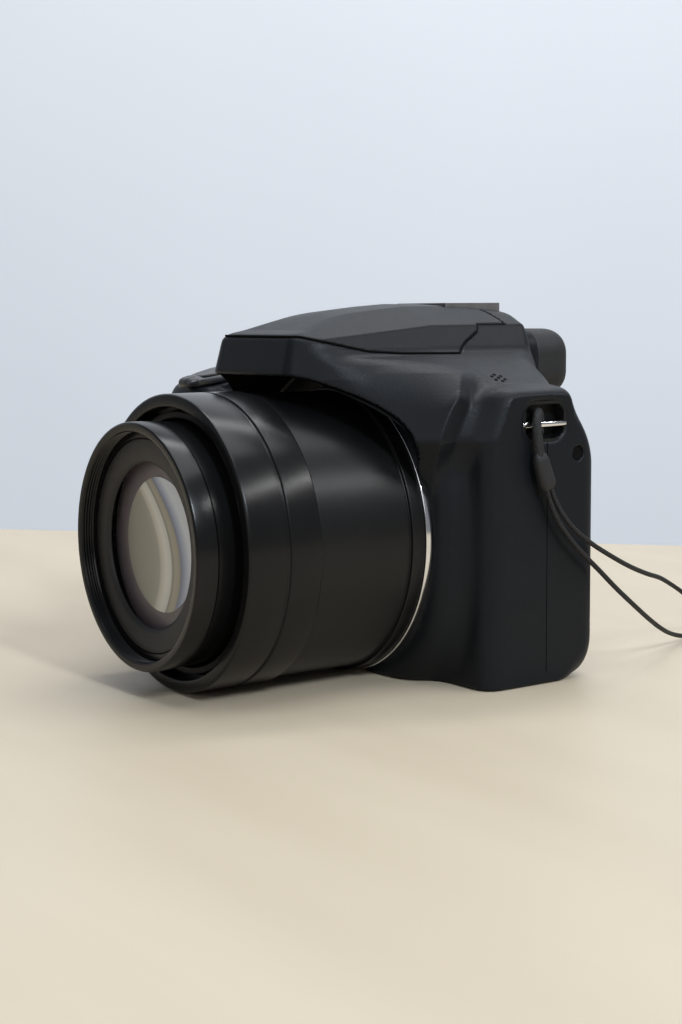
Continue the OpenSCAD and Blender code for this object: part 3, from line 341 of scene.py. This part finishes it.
MAIN_PLAN = rounded([(50, -11.4), (50, 26), (-80.2, 26), (-80.2, -11)], [6, 5, 5, 5], 20)
MAIN_SIDE = rounded([(-90, -90), (60, -90), (60, 11.2), (16, 75), (-90, 75)], [0, 0, 0, 5, 0], 12)
GRIP_PLAN = rounded([(-49.2, -36), (-49.2, 10), (-80.2, 10), (-80.2, -36)], [11, 0, 0, 14], 20)
GRIP_SIDE = rounded([(-60, -90), (60, -90), (60, 75), (-29, 75), (-60, 29.5)], [0, 0, 0, 5, 0], 12)
HUMP_PLAN = rounded([(-20, -49.2), (17.4, -49.2), (44.6, -21.6), (43.8, -15.9), (46.6, -11), (49.6, -5),
                     (49.6, 15.5), (46.5, 18.2), (36, 23), (26, 26), (22, 27), (-20, 27)],
                    [0, 6, 1.6, 2.5, 2, 4, 2.5, 6, 8, 3, 0, 0], 10)
HUMP_FRONT = rounded([(-20, 20), (80, 20), (80, 60.6), (24.2, 85), (20.8, 91.6), (10.7, 96.7), (0, 97.7),
                      (-20, 97.7)],
                     [0, 0, 0, 5, 1.6, 1.6, 0, 0], 12)
HUMP_SIDE = rounded([(-60, 30), (-60, 86.8), (-41, 90.7), (-34.5, 92.8), (-28, 94.8), (-22.9, 96.1),
                     (-15, 97.2), (-6, 97.6), (7, 97.6), (27.4, 94.9), (27.4, 30)],
                    [0, 0, 8, 10, 12, 16, 20, 20, 8, 0.8, 0], 10)
TOP_ROOM = [(-90, 64), (8.4, 64), (8.4, 73.4), (13.8, 75.4), (22, 82), (26, 90), (26, 190), (-90, 190)]
LID_ROOM = rounded([(-90, 89.2), (-44.8, 89.2), (-41.6, 88.3), (-35, 86.9), (-28, 85.4), (-18, 84.7),
                    (0, 84.4), (3.6, 87.2), (9, 90), (10, 92.4), (10, 190), (-90, 190)],
                   [0, 2, 4, 8, 8, 8, 3, 3, 1, 1, 0, 0])
RELEASE = (-62, -21, 75.8)
# Thickness of the covers, front of the collar, underside of the nose, start of the rear cover, gap round the lid
WALL = 2.0
COLLAR_Y = -19.4
NOSE_Z = 79.3
REAR_Y = 8.4
LID_GAP = 0.2
TILT = math.radians(14.5)
HINGE = (14, 91.2)


def ease(t):
    t = np.clip(t, 0, 1)
    return t * t * (3 - 2 * t)


def arch_reach(z):
    """Radius of the arch under the nose, widest beside the barrel."""
    return 39.6 + 7.7 * ease((z - 53) / 12) - 1.4 * ease((z - 66) / 12)


def main_form(x, y, z):
    lean = 0.42 * np.maximum(z - 62.5, 0) * ease((x - 20) / 20) * ease((6 - y) / 12)
    f = both(poly(x, y - lean, MAIN_PLAN), poly(y, z, MAIN_SIDE), 4)
    return both(f, -z, 1.2 + 10 * ease((y - 12) / 14) * ease((x - 20) / 20))


def grip_form(x, y, z):
    f = both(poly(x, y, GRIP_PLAN) + 0.22 * np.maximum(z - 58, 0), poly(y, z, GRIP_SIDE), 5)
    return both(f, -z, 3)


def collar_form(x, y, z):
    f = both(disc(x, z, (0, AXIS_Z), 47), np.abs(x) - 43, 8)
    return both(both(f, slab(y, COLLAR_Y, 5), 7), -z, 1.2)


def hump_form(x, y, z):
    """Finder hump: its shoulders lean back as they rise, and fade into the body below the crease."""
    side = np.abs(x)
    wide = ease((side - 18) / 24)
    rise = np.maximum(z - 64, 0)
    lean = wide * (0.4 * rise + 0.014 * rise * rise) * ease((6 - y) / 12)
    taper = 0.25 * np.clip(z - NOSE_Z, -1, 12) * (1 - wide) * ease((-12 - y) / 20)
    taper = taper + 0.6 * np.maximum(63 - z, 0)
    soft = 2.6 + 7 * ease((side - 22) / 8) * ease((47 - side) / 5)
    drop = 0.09 * np.maximum(-6 - y, 0) * np.clip((z - 82) / 4, 0, 1)
    lift = 0.17 * wide * np.clip(-2 - y, 0, 18) * np.clip((84 - z) / 4, 0, 1)
    f = both(poly(side, y - lean, HUMP_PLAN) + taper, poly(side, z + drop - lift, HUMP_FRONT), soft)
    f = both(f, poly(y, z, HUMP_SIDE), 1.6)
    arch = both(both(disc(x, z, (0, AXIS_Z), arch_reach(z)), y - COLLAR_Y, 1.5), z - NOSE_Z, 1.5)
    return cut(f, arch, 1.2)


def body_form(x, y, z):
    f = join(main_form(x, y, z), collar_form(x, y, z), 5)
    f = join(f, hump_form(x, y, z), 3)
    f = join(f, grip_form(x, y, z), 4)
    return np.maximum(f, np.maximum(-z, slab(x, -80.2, 50)))


def release_frame(x, y, z):
    """Places in the tilted frame of the release."""
    u, v, w = x - RELEASE[0], y - RELEASE[1], z - RELEASE[2]
    return u, v * math.cos(TILT) + w * math.sin(TILT), w * math.cos(TILT) - v * math.sin(TILT)


def release_form(x, y, z, r, low, high):
    """A round form on the tilted axis of the release."""
    u, v, w = release_frame(x, y, z)
    return both(np.hypot(u, v) - r, slab(w, low, high), 0.8)


def lug_form(x, y, z):
    """Room of the two strap lugs."""
    return both(rect(y, z, (1.4, 63.0), (14.2, 72.0), 4.2), 59.9 - np.abs(x + 15.1), 0.6)


def lid_arms(x, y, z, g):
    rod = disc(y, z, HINGE, 5.4 + g)
    web = np.maximum(slab(y, 3, 14), 85.8 - g - z)
    return np.maximum(slab(np.abs(x), 11.3 - g, 20 + g), np.minimum(rod, web))


def lid_room(x, y, z, g):
    f = poly(y, z, LID_ROOM) - g
    well = np.maximum(disc(y, z, HINGE, 10.5 - g), np.abs(x) - 11.3 + g)
    return join(cut(f, well, 0.4), lid_arms(x, y, z, g), 0.4)


def hollow(f, t):
    """A skin of thickness t inside a form."""
    return np.maximum(f, -(f + t))


def shell(x, y, z):
    """Front, top and rear cover together, with all their openings."""
    finder = both(rect(x, z, (-17.8, 70.5), (17.8, 90.5), 6.5), slab(y, 23, 34), 0.6)
    f = hollow(join(body_form(x, y, z), finder, 2), WALL)
    f = cut(f, np.maximum(lid_room(x, y, z, LID_GAP), y - 22), 0.3)
    f = join(f, block(x, y, z, (-11, 7.4, 89.2), (11, 25, 93.3), 0.5), 0.4)
    f = cut(f, block(x, y, z, (-10.8, 6.4, 93.3), (10.8, 40, 120), 0.3), 0.4)
    f = cut(f, np.maximum(disc(x, z, (0, AXIS_Z), 37.0), y + 1), 0.5)
    f = cut(f, lug_form(x, y, z), 2.4)
    f = cut(f, np.maximum(rect(x, y, (-38.2, -9.2), (42.2, 19.2), 3.2), z - 2), 0.4)
    f = cut(f, block(x, y, z, (-77.1, -29.3, -5), (-52.4, 12.3, 4)), 0.4)
    f = cut(f, block(x, y, z, (-60, -9.2, -5), (-48.7, 4.2, 4)), 0.4)
    f = cut(f, np.maximum(rect(x, z, (-75.4, 7.8), (-55, 56.2), 6), y + 24), 0.5)
    f = join(f, release_form(x, y, z, 9.4, -5, 0), 0.6)
    f = cut(f, release_form(x, y, z, 4.2, -15, 60), 0.5)
    f = cut(f, release_form(x, y, z, 12.6, 0, 15), 0.3)
    for c, r in (((-73, -7), 3.2), ((-55.6, -9.3), 3.2), ((-33, -2), 2.7)):
        f = cut(f, np.maximum(disc(x, y, c, r), 66 - z), 0.5)
    f = cut(f, block(x, y, z, (-71.2, 1.7, 66), (-69.2, 13.3, 120), 0.3), 0.4)
    f = cut(f, np.maximum(disc(x, z, (-56, 67.6), 2.5), y + 13), 0.4)
    f = cut(f, np.maximum(rect(x, z, (-10.2, 74.5), (10.2, 87.6), 1), 10 - y), 0.5)
    f = cut(f, np.maximum(rect(x, z, (-30.2, 6.8), (42.2, 59.2), 2), 24.8 - y), 0.4)
    f = cut(f, block(x, y, z, (-27, 10, 11), (39, 40, 56)), 0.4)
    for c, r in (((-44, 50), 3.2), ((-57, 50), 3.2), ((-45, 10), 3.2), ((-69, 10), 3.2), ((-57, 29), 11.2)):
        f = cut(f, np.maximum(disc(x, z, c, r), 20 - y), 0.5)
    f = cut(f, block(x, y, z, (-77.2, 18, 57.7), (-62.8, 40, 62.3), 0.4), 0.5)
    f = cut(f, block(x, y, z, (-90, 9.7, 23.7), (-77, 19.9, 50.3), 0.4), 0.4)
    f = cut(f, np.maximum(disc(y, z, (30.6, 82), 1.6), slab(x, -30, -13)), 0.3)
    return cut(f, np.maximum(disc(y, z, (19, 58.8), 1.75), 48.6 - x), 0.4)


def lid_form(x, y, z):
    h = hump_form(x, y, z)
    inner = np.maximum(h + WALL, -lid_arms(x, y, z, 0))
    f = both(h, lid_room(x, y, z, 0), 0.3)
    f = cut(f, inner, 0.4)
    return cut(f, np.maximum(disc(y, z, HINGE, 1.05), np.abs(x) - 18.6), 0.2)


def liner_form(x, y, z):
    """Rim behind the hump's skin that covers the gap below the flash lid."""
    h = hump_form(x, y, z)
    seam = np.abs(poly(y, z, LID_ROOM)) - 1.7
    return np.maximum(np.maximum(h + 2.15, -h - 2.9), np.maximum(seam, y - 2))


def pad_form(x, y, z):
    g = grip_form(x, y, z) - 0.15
    f = both(g, np.maximum(rect(x, z, (-75.2, 8), (-55.2, 56), 6), y + 24), 0.9)
    return np.maximum(f, -(g + 1.8))


def cup_form(x, y, z):
    round_off = 6 * ease((y - 36) / 6) + 0.6
    outer = both(rect(x, z, (-17.5, 71.5), (17.5, 90.2), 7), slab(y, 34.1, 47.8), round_off)
    inner = rect(x, z, (-13.5, 75.5), (13.5, 86.4), 3) - np.maximum(y - 42, 0) * 0.45
    return cut(outer, inner, 1.2)


def slope(form, points, e):
    """Gradient of a form at points."""
    found = np.zeros_like(points)
    for d in range(3):
        shift = np.zeros(3)
        shift[d] = e
        p, q = points + shift, points - shift
        found[:, d] = (form(p[:, 0], p[:, 1], p[:, 2]) - form(q[:, 0], q[:, 1], q[:, 2])) / (2 * e)
    return found


def settle(form, points, step):
    """Moves points towards a form's surface."""
    value = form(points[:, 0], points[:, 1], points[:, 2])
    grad = slope(form, points, 0.05)
    size = np.maximum((grad ** 2).sum(1), 0.25)
    points -= np.clip(0.8 * value / size, -0.4 * step, 0.4 * step)[:, None] * grad


def net(form, low, high, step, keep=None):
    """Surface of a form: one point per crossed cell, moved onto the surface, and four-sided faces."""
    axes = [np.arange(a, b + step, step) for a, b in zip(low, high)]
    shape = tuple(len(a) for a in axes)
    x, y, z = axes[0][:, None, None], axes[1][None, :, None], axes[2][None, None, :]
    field = np.broadcast_to(form(x, y, z), shape)
    inside = field < 0
    cells = tuple(n - 1 for n in shape)
    corner = [(i, j, k) for i in (0, 1) for j in (0, 1) for k in (0, 1)]
    count = np.zeros(cells, np.int8)
    for i, j, k in corner:
        count += inside[i:i + cells[0], j:j + cells[1], k:k + cells[2]]
    active = (count > 0) & (count < 8)
    index = np.full(cells, -1, np.int64)
    index[active] = np.arange(active.sum())
    where = np.argwhere(active)
    total = np.zeros((len(where), 3))
    number = np.zeros(len(where))
    for a in corner:
        for d in range(3):
            if a[d]:
                continue
            b = list(a)
            b[d] = 1
            va = field[tuple((where + a).T)]
            vb = field[tuple((where + b).T)]
            crossed = (va < 0) != (vb < 0)
            t = np.where(crossed, va / np.where(crossed, va - vb, 1), 0)
            spot = np.array(a, float)[None, :] + np.zeros((len(where), 3))
            spot[:, d] += t
            total += np.where(crossed[:, None], spot, 0)
            number += crossed
    points = np.array([a[0] for a in axes]) + step * (where + total / number[:, None])
    for _ in range(4):
        settle(form, points, step)
    faces = []
    for d in range(3):
        e, f = (d + 1) % 3, (d + 2) % 3
        low_side = [slice(None)] * 3
        high_side = [slice(None)] * 3
        low_side[d], high_side[d] = slice(0, -1), slice(1, None)
        change = inside[tuple(low_side)] != inside[tuple(high_side)]
        trim = [slice(None)] * 3
        trim[e], trim[f] = slice(1, -1), slice(1, -1)
        edge = np.argwhere(change[tuple(trim)])
        edge[:, e] += 1
        edge[:, f] += 1
        ring = []
        for de, df in ((0, 0), (-1, 0), (-1, -1), (0, -1)):
            q = edge.copy()
            q[:, e] += de
            q[:, f] += df
            ring.append(index[tuple(q.T)])
        quad = np.stack(ring, 1)
        first = inside[tuple(edge.T)]
        quad[~first] = quad[~first][:, ::-1]
        faces.append(quad)
    faces = np.vstack(faces)
    if keep is not None:
        seen = keep(points[:, 0], points[:, 1], points[:, 2])
        faces = faces[seen[faces].any(1)]
    return points, faces


def mesh_piece(name, points, faces, normals):
    """A smooth piece from a part of a net."""
    used = np.unique(faces)
    renumber = np.full(len(points), -1)
    renumber[used] = np.arange(len(used))
    faces = renumber[faces]
    mesh = bpy.data.meshes.new(name)
    mesh.vertices.add(len(used))
    mesh.vertices.foreach_set("co", (points[used] * MM).astype(np.float32).ravel())
    mesh.loops.add(faces.size)
    mesh.loops.foreach_set("vertex_index", faces.ravel().astype(np.int32))
    mesh.polygons.add(len(faces))
    mesh.polygons.foreach_set("loop_start", np.arange(0, faces.size, 4, dtype=np.int32))
    mesh.update(calc_edges=True)
    mesh.polygons.foreach_set("use_smooth", np.ones(len(mesh.polygons), bool))
    mesh.normals_split_custom_set_from_vertices(normals[used].astype(np.float32))
    piece = bpy.data.objects.new(name, mesh)
    bpy.context.scene.collection.objects.link(piece)
    return piece


def unit_slope(form, points):
    grad = slope(form, points, 0.12)
    return grad / np.maximum(np.linalg.norm(grad, axis=1), 1e-6)[:, None]


def skin(name, form, low, high, step, keep=None):
    points, faces = net(form, low, high, step, keep)
    return mesh_piece(name, points, faces, unit_slope(form, points))


def dress(piece, body, node, material):
    """Puts a new piece on its body in place of a CAD node."""
    piece.data.materials.clear()
    piece.data.materials.append(material)
    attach(piece, body)
    if node:
        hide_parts(node)
    return piece


def outer(depth):
    """Keeps what lies near the outside of the body."""
    return lambda x, y, z: body_form(x, y, z) > -depth


STEP = 0.7
LID_STEP = 0.42


def cover_fields(x, y, z):
    """Signed distances to the regions of the top and of the rear cover."""
    return poly(y, z, TOP_ROOM) + 0 * x, REAR_Y - y + 0 * x


shell_points, shell_faces = net(shell, (-83, -52, -2), (53, 37, 101), STEP, outer(1.9))
middle = shell_points[shell_faces].mean(1)
in_top, in_rear = cover_fields(middle[:, 0], middle[:, 1], middle[:, 2])
cover = np.where(in_top < 0, 1, np.where(in_rear < 0, 2, 0))
touch = np.zeros((len(shell_points), 3), bool)
for k in range(3):
    touch[np.unique(shell_faces[cover == k]), k] = True
rims = (touch[:, 1] & (touch[:, 0] | touch[:, 2]), touch[:, 0] & touch[:, 2])
for k, rim in enumerate(rims):
    line = shell_points[rim]
    for _ in range(4):
        settle(lambda x, y, z: cover_fields(x, y, z)[k], line, STEP)
        settle(shell, line, STEP)
    shell_points[rim] = line
shell_normals = unit_slope(shell, shell_points)
for k, side in enumerate(("front", "top", "rear")):
    piece = mesh_piece(side + "_shell", shell_points, shell_faces[cover == k], shell_normals)
    dress(piece, "body", side + "_cover", shell_black)
liner = skin("lid_liner", liner_form, (-29, -50, 82), (29, 3, 92), STEP)
dress(liner, "body", None, trim_black)
lid = skin("flash_cover", lid_form, (-29, -52, 81), (29, 23, 100), LID_STEP)
dress(lid, "flash", "flash_lid", shell_black)


def seam_height(y):
    """Height of the lower edge of the flash lid."""
    low = [p for p in LID_ROOM if -60 < p[0] < 9.4 and p[1] < 93]
    return np.interp(y, [p[0] for p in low], [p[1] for p in low])


def cross(form, inside, outside, count=24):
    """Points where a form's surface is met on the way from points inside to points outside."""
    a, b = inside.copy(), outside.copy()
    for _ in range(count):
        m = (a + b) / 2
        within = (form(m[:, 0], m[:, 1], m[:, 2]) < 0)[:, None]
        a, b = np.where(within, m, a), np.where(within, b, m)
    return a


# Seams of the flash lid and of the side, and the loop of the tether in the strap lug
turns = np.radians(np.linspace(53, -233, 300))
reach = np.full(len(turns), 12.0)
far = np.full(len(turns), 46.0)
for _ in range(30):
    mid = (reach + far) / 2
    x, y = mid * np.cos(turns), -20 + mid * np.sin(turns)
    within = hump_form(x, y, seam_height(y)) < 0
    reach, far = np.where(within, mid, reach), np.where(within, far, mid)
x, y = reach * np.cos(turns), -20 + reach * np.sin(turns)
seam = curve_piece("lid_seam", np.stack([x, y, seam_height(y)], 1), 0.64, hole_and_shade_black)
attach(seam, "body")
side_line = curve_piece("side_seam", [(49.98, REAR_Y, z) for z in np.linspace(3, 62, 20)], 0.24, hole_and_shade_black)
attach(side_line, "body")
LOOP = [(52.2, 3.6, 59), (51.9, 3.3, 63), (51.3, 3.5, 66.6), (50.2, 4.7, 69.2), (48.7, 6.4, 69.7),
        (47.7, 7.6, 68), (47.8, 7.4, 65.4), (49, 6.2, 64.4)]
loop = curve_piece("tether_loop", smooth_path(LOOP, 6), 2.5, cord_braid)
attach(loop, "body")

# Speaker holes on the shoulder
turn = np.radians(np.arange(0, 360, 60))
holes = [(39.5, 1)] + [(39.5 + 1.7 * math.cos(a), 1 + 1.7 * math.sin(a)) for a in turn]
below, above = (np.array([(x, y, z) for x, y in holes]) for z in (66.0, 90.0))
top = cross(body_form, below, above)
facing = unit_slope(body_form, top)
corners, fans = [], []
for spot, n in zip(top, facing):
    u = np.cross(n, (0, 1, 0))
    u, start = u / np.linalg.norm(u), len(corners)
    for a in np.radians(np.arange(0, 360, 30)):
        corners.append((spot + 0.08 * n + 0.5 * (u * math.cos(a) + np.cross(n, u) * math.sin(a))) * MM)
    fans.append(tuple(range(start, start + 12)))
data = bpy.data.meshes.new("speaker_holes")
data.from_pydata([tuple(c) for c in corners], [], fans)
dots = bpy.data.objects.new("speaker_holes", data)
bpy.context.scene.collection.objects.link(dots)
dress(dots, "body", None, hole_and_shade_black)


# Release and zoom lever, on the tilted axis of the release
def lever_form(x, y, z):
    u, v, w = release_frame(x, y, z)
    tab = both(rect(u, v, (-3.6, -12), (3.6, -6), 2.6), slab(w, 0.3, 3.4), 2.0)
    f = join(release_form(x, y, z, 9.2, 0.3, 2.2), tab, 1.0)
    return cut(f, release_form(x, y, z, 6.2, 1.0, 20), 0.4)


def button_form(x, y, z):
    return release_form(x, y, z, 6.0, 1.9, 2.8)


lever = skin("lever_cap", lever_form, (-73, -35, 71), (-51, -10, 82), STEP * 0.6)
dress(lever, "zoom", "zoom_lever", button_black)
release = skin("release_cap", button_form, (-70, -29, 73), (-54, -13, 82), STEP * 0.6)
dress(release, "shutter", "shutter_button", button_black)


# Rubber sleeve of the tether, narrower and rounder at its ends than its CAD solid
def sleeve_form(x, y, z):
    turn = math.radians(19)
    along = (y - 3.2) * math.sin(turn) - (z - 60.6) * math.cos(turn)
    across = (y - 3.2) * math.cos(turn) + (z - 60.6) * math.sin(turn)
    f = rect(x - 52.25, across, (-1.7, -2.4), (1.7, 2.4), 1.5) + 0.05 * np.maximum(8 - along, 0)
    return both(f, slab(along, 0, 11.4), 3.2)


sleeve = skin("sleeve_rubber", sleeve_form, (49, -1, 47), (55.5, 12, 63), STEP * 0.6)
dress(sleeve, "body", "cord_sleeve", rubber_black)

# Painted shade: a black sheet over the inner face of the arch under the nose, where it lies in shade
bends = np.radians(np.arange(32, 149, 2))
reach = np.full(len(bends), 45.0)
for _ in range(12):
    reach = arch_reach(AXIS_Z + reach * np.sin(bends)) - 0.35
edge = [(r * math.cos(a), min(AXIS_Z + r * math.sin(a), 79.0)) for r, a in zip(reach, bends)]
front_y = [max(-46.5, -64.5 + abs(x)) for x, z in edge]
data = bpy.data.meshes.new("arch_shade_sheet")
ahead = [(x * MM, y * MM, z * MM) for (x, z), y in zip(edge, front_y)]
behind = [(x * MM, (COLLAR_Y - 0.2) * MM, z * MM) for x, z in edge]
strip = [(k, k + 1, k + 1 + len(edge), k + len(edge)) for k in range(len(edge) - 1)]
data.from_pydata(ahead + behind, [], strip)
arch_shade = bpy.data.objects.new("arch_shade_sheet", data)
bpy.context.scene.collection.objects.link(arch_shade)
dress(arch_shade, "body", None, hole_and_shade_black)

# Rubber of the grip and of the eyecup
pad = skin("grip_rubber", pad_form, (-78, -39, 5), (-52, -21, 59), STEP)
dress(pad, "body", "grip_pad", leather_rubber)
cup = skin("eye_rubber", cup_form, (-20, 32, 69), (20, 50, 93), STEP * 0.8)
dress(cup, "body", "eyecup", rubber_black)


# Turned pieces about the lens axis, from outlines of (place along Y, radius)
def lathe(name, profile, segments=192):
    data = bpy.data.meshes.new(name)
    shape = bmesh.new()
    rings = []
    for y, r in profile:
        ring = []
        for k in range(segments):
            a = 2 * math.pi * k / segments
            spot = (r * math.cos(a), y, AXIS_Z + r * math.sin(a))
            ring.append(shape.verts.new(Vector(spot) * MM))
        rings.append(ring)
    for a, b in zip(rings, rings[1:] + rings[:1]):
        for k in range(segments):
            m = (k + 1) % segments
            shape.faces.new((a[k], a[m], b[m], b[k]))
    bmesh.ops.recalc_face_normals(shape, faces=shape.faces[:])
    for face in shape.faces:
        face.smooth = True
    for edge in shape.edges:
        if len(edge.link_faces) == 2 and edge.calc_face_angle() > math.radians(32):
            edge.smooth = False
    shape.to_mesh(data)
    shape.free()
    piece = bpy.data.objects.new(name, data)
    bpy.context.scene.collection.objects.link(piece)
    return piece


def bevelled(profile, cuts):
    """A closed outline with its corners cut off by small rounds."""
    found = []
    count = len(profile)
    for k, c in enumerate(cuts):
        p = Vector(profile[k])
        if not c:
            found.append(tuple(p))
            continue
        a = (Vector(profile[k - 1]) - p).normalized() * c
        b = (Vector(profile[(k + 1) % count]) - p).normalized() * c
        for t in (0, 0.25, 0.5, 0.75, 1):
            found.append(tuple(p + a * (1 - t) ** 2 + b * t ** 2))
    return found


barrel_profile = bevelled([(-51.9, 36.8), (-51.9, 35.2), (-9.1, 35.2), (-9.1, 36.8), (-21.2, 36.8),
                           (-21.2, 37.7), (-25.0, 37.7), (-25.0, 36.8)], [0.3, 0.2, 0, 0, 0, 0.2, 0.25, 0.2])
dress(lathe("barrel_skin", barrel_profile), "body", "lens_barrel", lens_satin)
ring_profile = bevelled([(-52.1, 37.6), (-60.9, 37.6), (-61.2, 37.15), (-62.0, 37.15), (-62.3, 37.6),
                         (-72.8, 37.6), (-72.8, 34.4), (-67.5, 34.4), (-67.5, 33.55), (-65.5, 33.55),
                         (-65.5, 35.2), (-52.1, 35.2)],
                        [0.5, 0.12, 0, 0, 0.12, 0.8, 0.5, 0, 0.2, 0.2, 0, 0])
dress(lathe("outer_ring", ring_profile), "body", "lens_front_ring", lens_ring)
trim_profile = bevelled([(-21.1, 36.9), (-21.1, 38.2), (-19.3, 38.2), (-19.3, 36.9)], [0.1, 0.35, 0.2, 0])
dress(lathe("bright_ring", trim_profile), "body", "trim_ring", chrome)
middle_profile = bevelled([(-70, 31.4), (-70, 33.2), (-25, 33.2), (-25, 31.4)], [0.4, 0.4, 0, 0])
dress(lathe("middle_skin", middle_profile), "middle", "middle_barrel", lens_inner)

# Front barrel with filter thread, lens seat and a groove behind its rim
thread = [(-82.9, 28.85)]
for k in range(4):
    thread += [(-82.5 + 0.75 * k, 28.6), (-82.12 + 0.75 * k, 29.0)]
outside = [(-34, 30.7), (-76.9, 30.7), (-77.1, 30.4), (-77.4, 30.4), (-77.5, 31.05), (-82.5, 31.05),
           (-82.85, 30.9), (-83.1, 30.5), (-83.1, 29.4)]
seat = [(-79.5, 28.7), (-79.5, 27.0), (-78.2, 27.0), (-78.2, 24.1), (-70.1, 24.1), (-70.1, 29.1), (-34, 29.1)]
dress(lathe("front_skin", outside + thread + seat), "front", "front_barrel", lens_ring)
name_profile = [(-78.3, 26.9), (-79.2, 26.9), (-79.4, 26.6), (-79.4, 21.8), (-79.1, 21.2), (-78.5, 20.7),
                (-78.3, 20.7)]
dress(lathe("name_disc", name_profile), "front", "name_ring", name_black)


def dome(y_front, r, ball, y_back, count=14):
    """Outline of a lens from its rim at the back over its bulging front."""
    found = [(y_back, 0.02), (y_back, r)]
    for k in range(count + 1):
        q = r * (1 - k / count)
        found.append((y_front + ball - math.sqrt(ball * ball - q * q), max(q, 0.02)))
    return found


dress(lathe("front_glass", dome(-79.4, 24.0, 105, -76.2), 96), "front", "front_lens", veil_glass)
# Opaque disc behind the front glass, carrying the painted violet-grey reflection
violet_disc = lathe("violet_reflection_disc", [(-75.3, 0.02), (-75.3, 24.0), (-74.6, 24.0), (-74.6, 0.02)], 96)
dress(violet_disc, "front", None, violet_reflection)
# Smaller disc in front of it, carrying the painted reflection arcs
inner = lathe("inner_glass", [(-75.6, 0.02), (-75.5, 17.0), (-75.3, 17.0), (-75.3, 0.02)], 96)
dress(inner, "front", None, painted_reflection_arcs)

# CAD solids that keep their shape: softened edges and their own finish
FINISH = {
    "base_plate": (trim_black, 0.3), "af_lamp_window": (lamp_red, 0), "cam_barrel": (grey_plastic, 0),
    "zoom_group": (lens_inner, 0), "focus_group": (lens_inner, 0), "lens_base": (grey_plastic, 0),
    "image_sensor": (board_green, 0), "zoom_motor": (steel, 0.2), "chassis": (alloy, 0),
    "electronics": (board_green, 0), "tripod_socket": (brass, 0.2), "battery_holder": (grey_plastic, 0),
    "battery": (cell_grey, 0.6), "battery_door": (trim_black, 0.25),
    "battery_latch": (button_black, 0.12), "hinge_pins": (trim_black, 0.1),
    "port_door": (trim_black, 0.2), "port_sockets": (steel, 0.1), "flash_head": (trim_black, 0.3),
    "flash_window": (window_clear, 0.2), "flash_well": (trim_black, 0), "hot_shoe": (shoe_metal, 0.2),
    "eyepiece_lens": (glass_clear, 0.3), "finder_unit": (lens_inner, 0),
    "dioptre_dial": (button_black, 0.3), "mode_dial": (button_black, 0.25),
    "power_switch": (button_black, 0.3), "video_button": (button_black, 0.25),
    "burst_button": (button_black, 0.25), "flash_open_button": (button_black, 0.25),
    "rear_dial": (button_black, 0.15), "lock_button": (button_black, 0.25),
    "playback_button": (button_black, 0.25), "display_button": (button_black, 0.25),
    "delete_button": (button_black, 0.25), "cursor_pad": (button_black, 0.35),
    "set_button": (button_black, 0.35), "display_window": (window_black, 0.25),
    "display_panel": (panel_dark, 0), "lug_cups": (lens_inner, 0.25), "lug_bars": (chrome, 0.1),
    "case_screws": (hole_and_shade_black, 0.1), "lens_cap": (trim_black, 0.5)}
for name, (material, width) in FINISH.items():
    solid = nodes[name]
    solid.data.materials.clear()
    solid.data.materials.append(material)
    if width:
        weld = solid.modifiers.new("weld", "WELD")
        weld.merge_threshold = 0.00001
        edge = solid.modifiers.new("edge", "BEVEL")
        edge.width = width * MM
        edge.segments = 3
        edge.limit_method = "ANGLE"
        edge.angle_limit = math.radians(40)
        edge.use_clamp_overlap = True


# Floor, wall and light
def plane(name, corners, material):
    data = bpy.data.meshes.new(name)
    data.from_pydata(corners, [], [tuple(range(len(corners)))])
    data.materials.append(material)
    made = bpy.data.objects.new(name, data)
    bpy.context.scene.collection.objects.link(made)


floor_pale = surface("floor_pale", (0.535, 0.455, 0.340), (0.58, 0.498, 0.378),
                     (0.42, 0.52), None, 0.0, 0.3, 3, (1, 8, 1))
wall_pale = surface("wall_pale", (0.70, 0.73, 0.77), (0.72, 0.75, 0.79), (0.8, 0.9), None, 0.0, 0.2, 3)
wall_glow = wall_pale.node_tree.nodes["Principled BSDF"].inputs
wall_glow["Emission Color"].default_value = (0.90, 0.94, 1.0, 1)
wall_glow["Emission Strength"].default_value = 0.2
plane("table", [(-1.15, -0.55, 0), (1.0, -2.2, 0), (2.0, 0.9, 0), (0.60, 0.85, 0), (-0.12, 0.215, 0),
                (-0.332, 0.030, 0)], floor_pale)
plane("wall", [(-3.2, -1.4, -1.2), (0.4, 3.0, -1.2), (0.4, 3.0, 3.0), (-3.2, -1.4, 3.0)], wall_pale)


def area_light(name, place, target, size, power, colour=(1, 1, 1)):
    data = bpy.data.lights.new(name, "AREA")
    data.shape = "RECTANGLE"
    data.size, data.size_y = size
    data.energy = power
    data.color = colour
    lamp = bpy.data.objects.new(name, data)
    lamp.location = place
    lamp.rotation_euler = (Vector(target) - Vector(place)).to_track_quat("-Z", "Y").to_euler()
    bpy.context.scene.collection.objects.link(lamp)


area_light("ceiling", (0.2, 0.1, 1.7), (0, 0, 0), (1.5, 1.2), 16.8, (0.92, 0.96, 1.0))
area_light("wall_wash", (-0.55, 0.65, 1.9), (-1.5, 0.9, 0.2), (1.6, 0.5), 17, (0.98, 0.99, 1.0))
area_light("tube", (0.85, 0.75, 0.93), (0.02, -0.06, 0.05), (0.9, 0.05), 4.5)
area_light("front_fill", (0.9, -1.5, 0.7), (0, 0, 0.04), (0.9, 0.7), 4, (0.98, 0.99, 1.0))
area_light("window", (1.32, -0.10, 1.0), (0.045, -0.015, 0.07), (0.16, 0.3), 13, (0.82, 0.91, 1.0))
world = bpy.data.worlds.new("studio")
world.use_nodes = True
world.node_tree.nodes["Background"].inputs["Color"].default_value = (0.80, 0.84, 0.90, 1)
world.node_tree.nodes["Background"].inputs["Strength"].default_value = 0.28
bpy.context.scene.world = world
bpy.context.scene.view_settings.view_transform = "Standard"
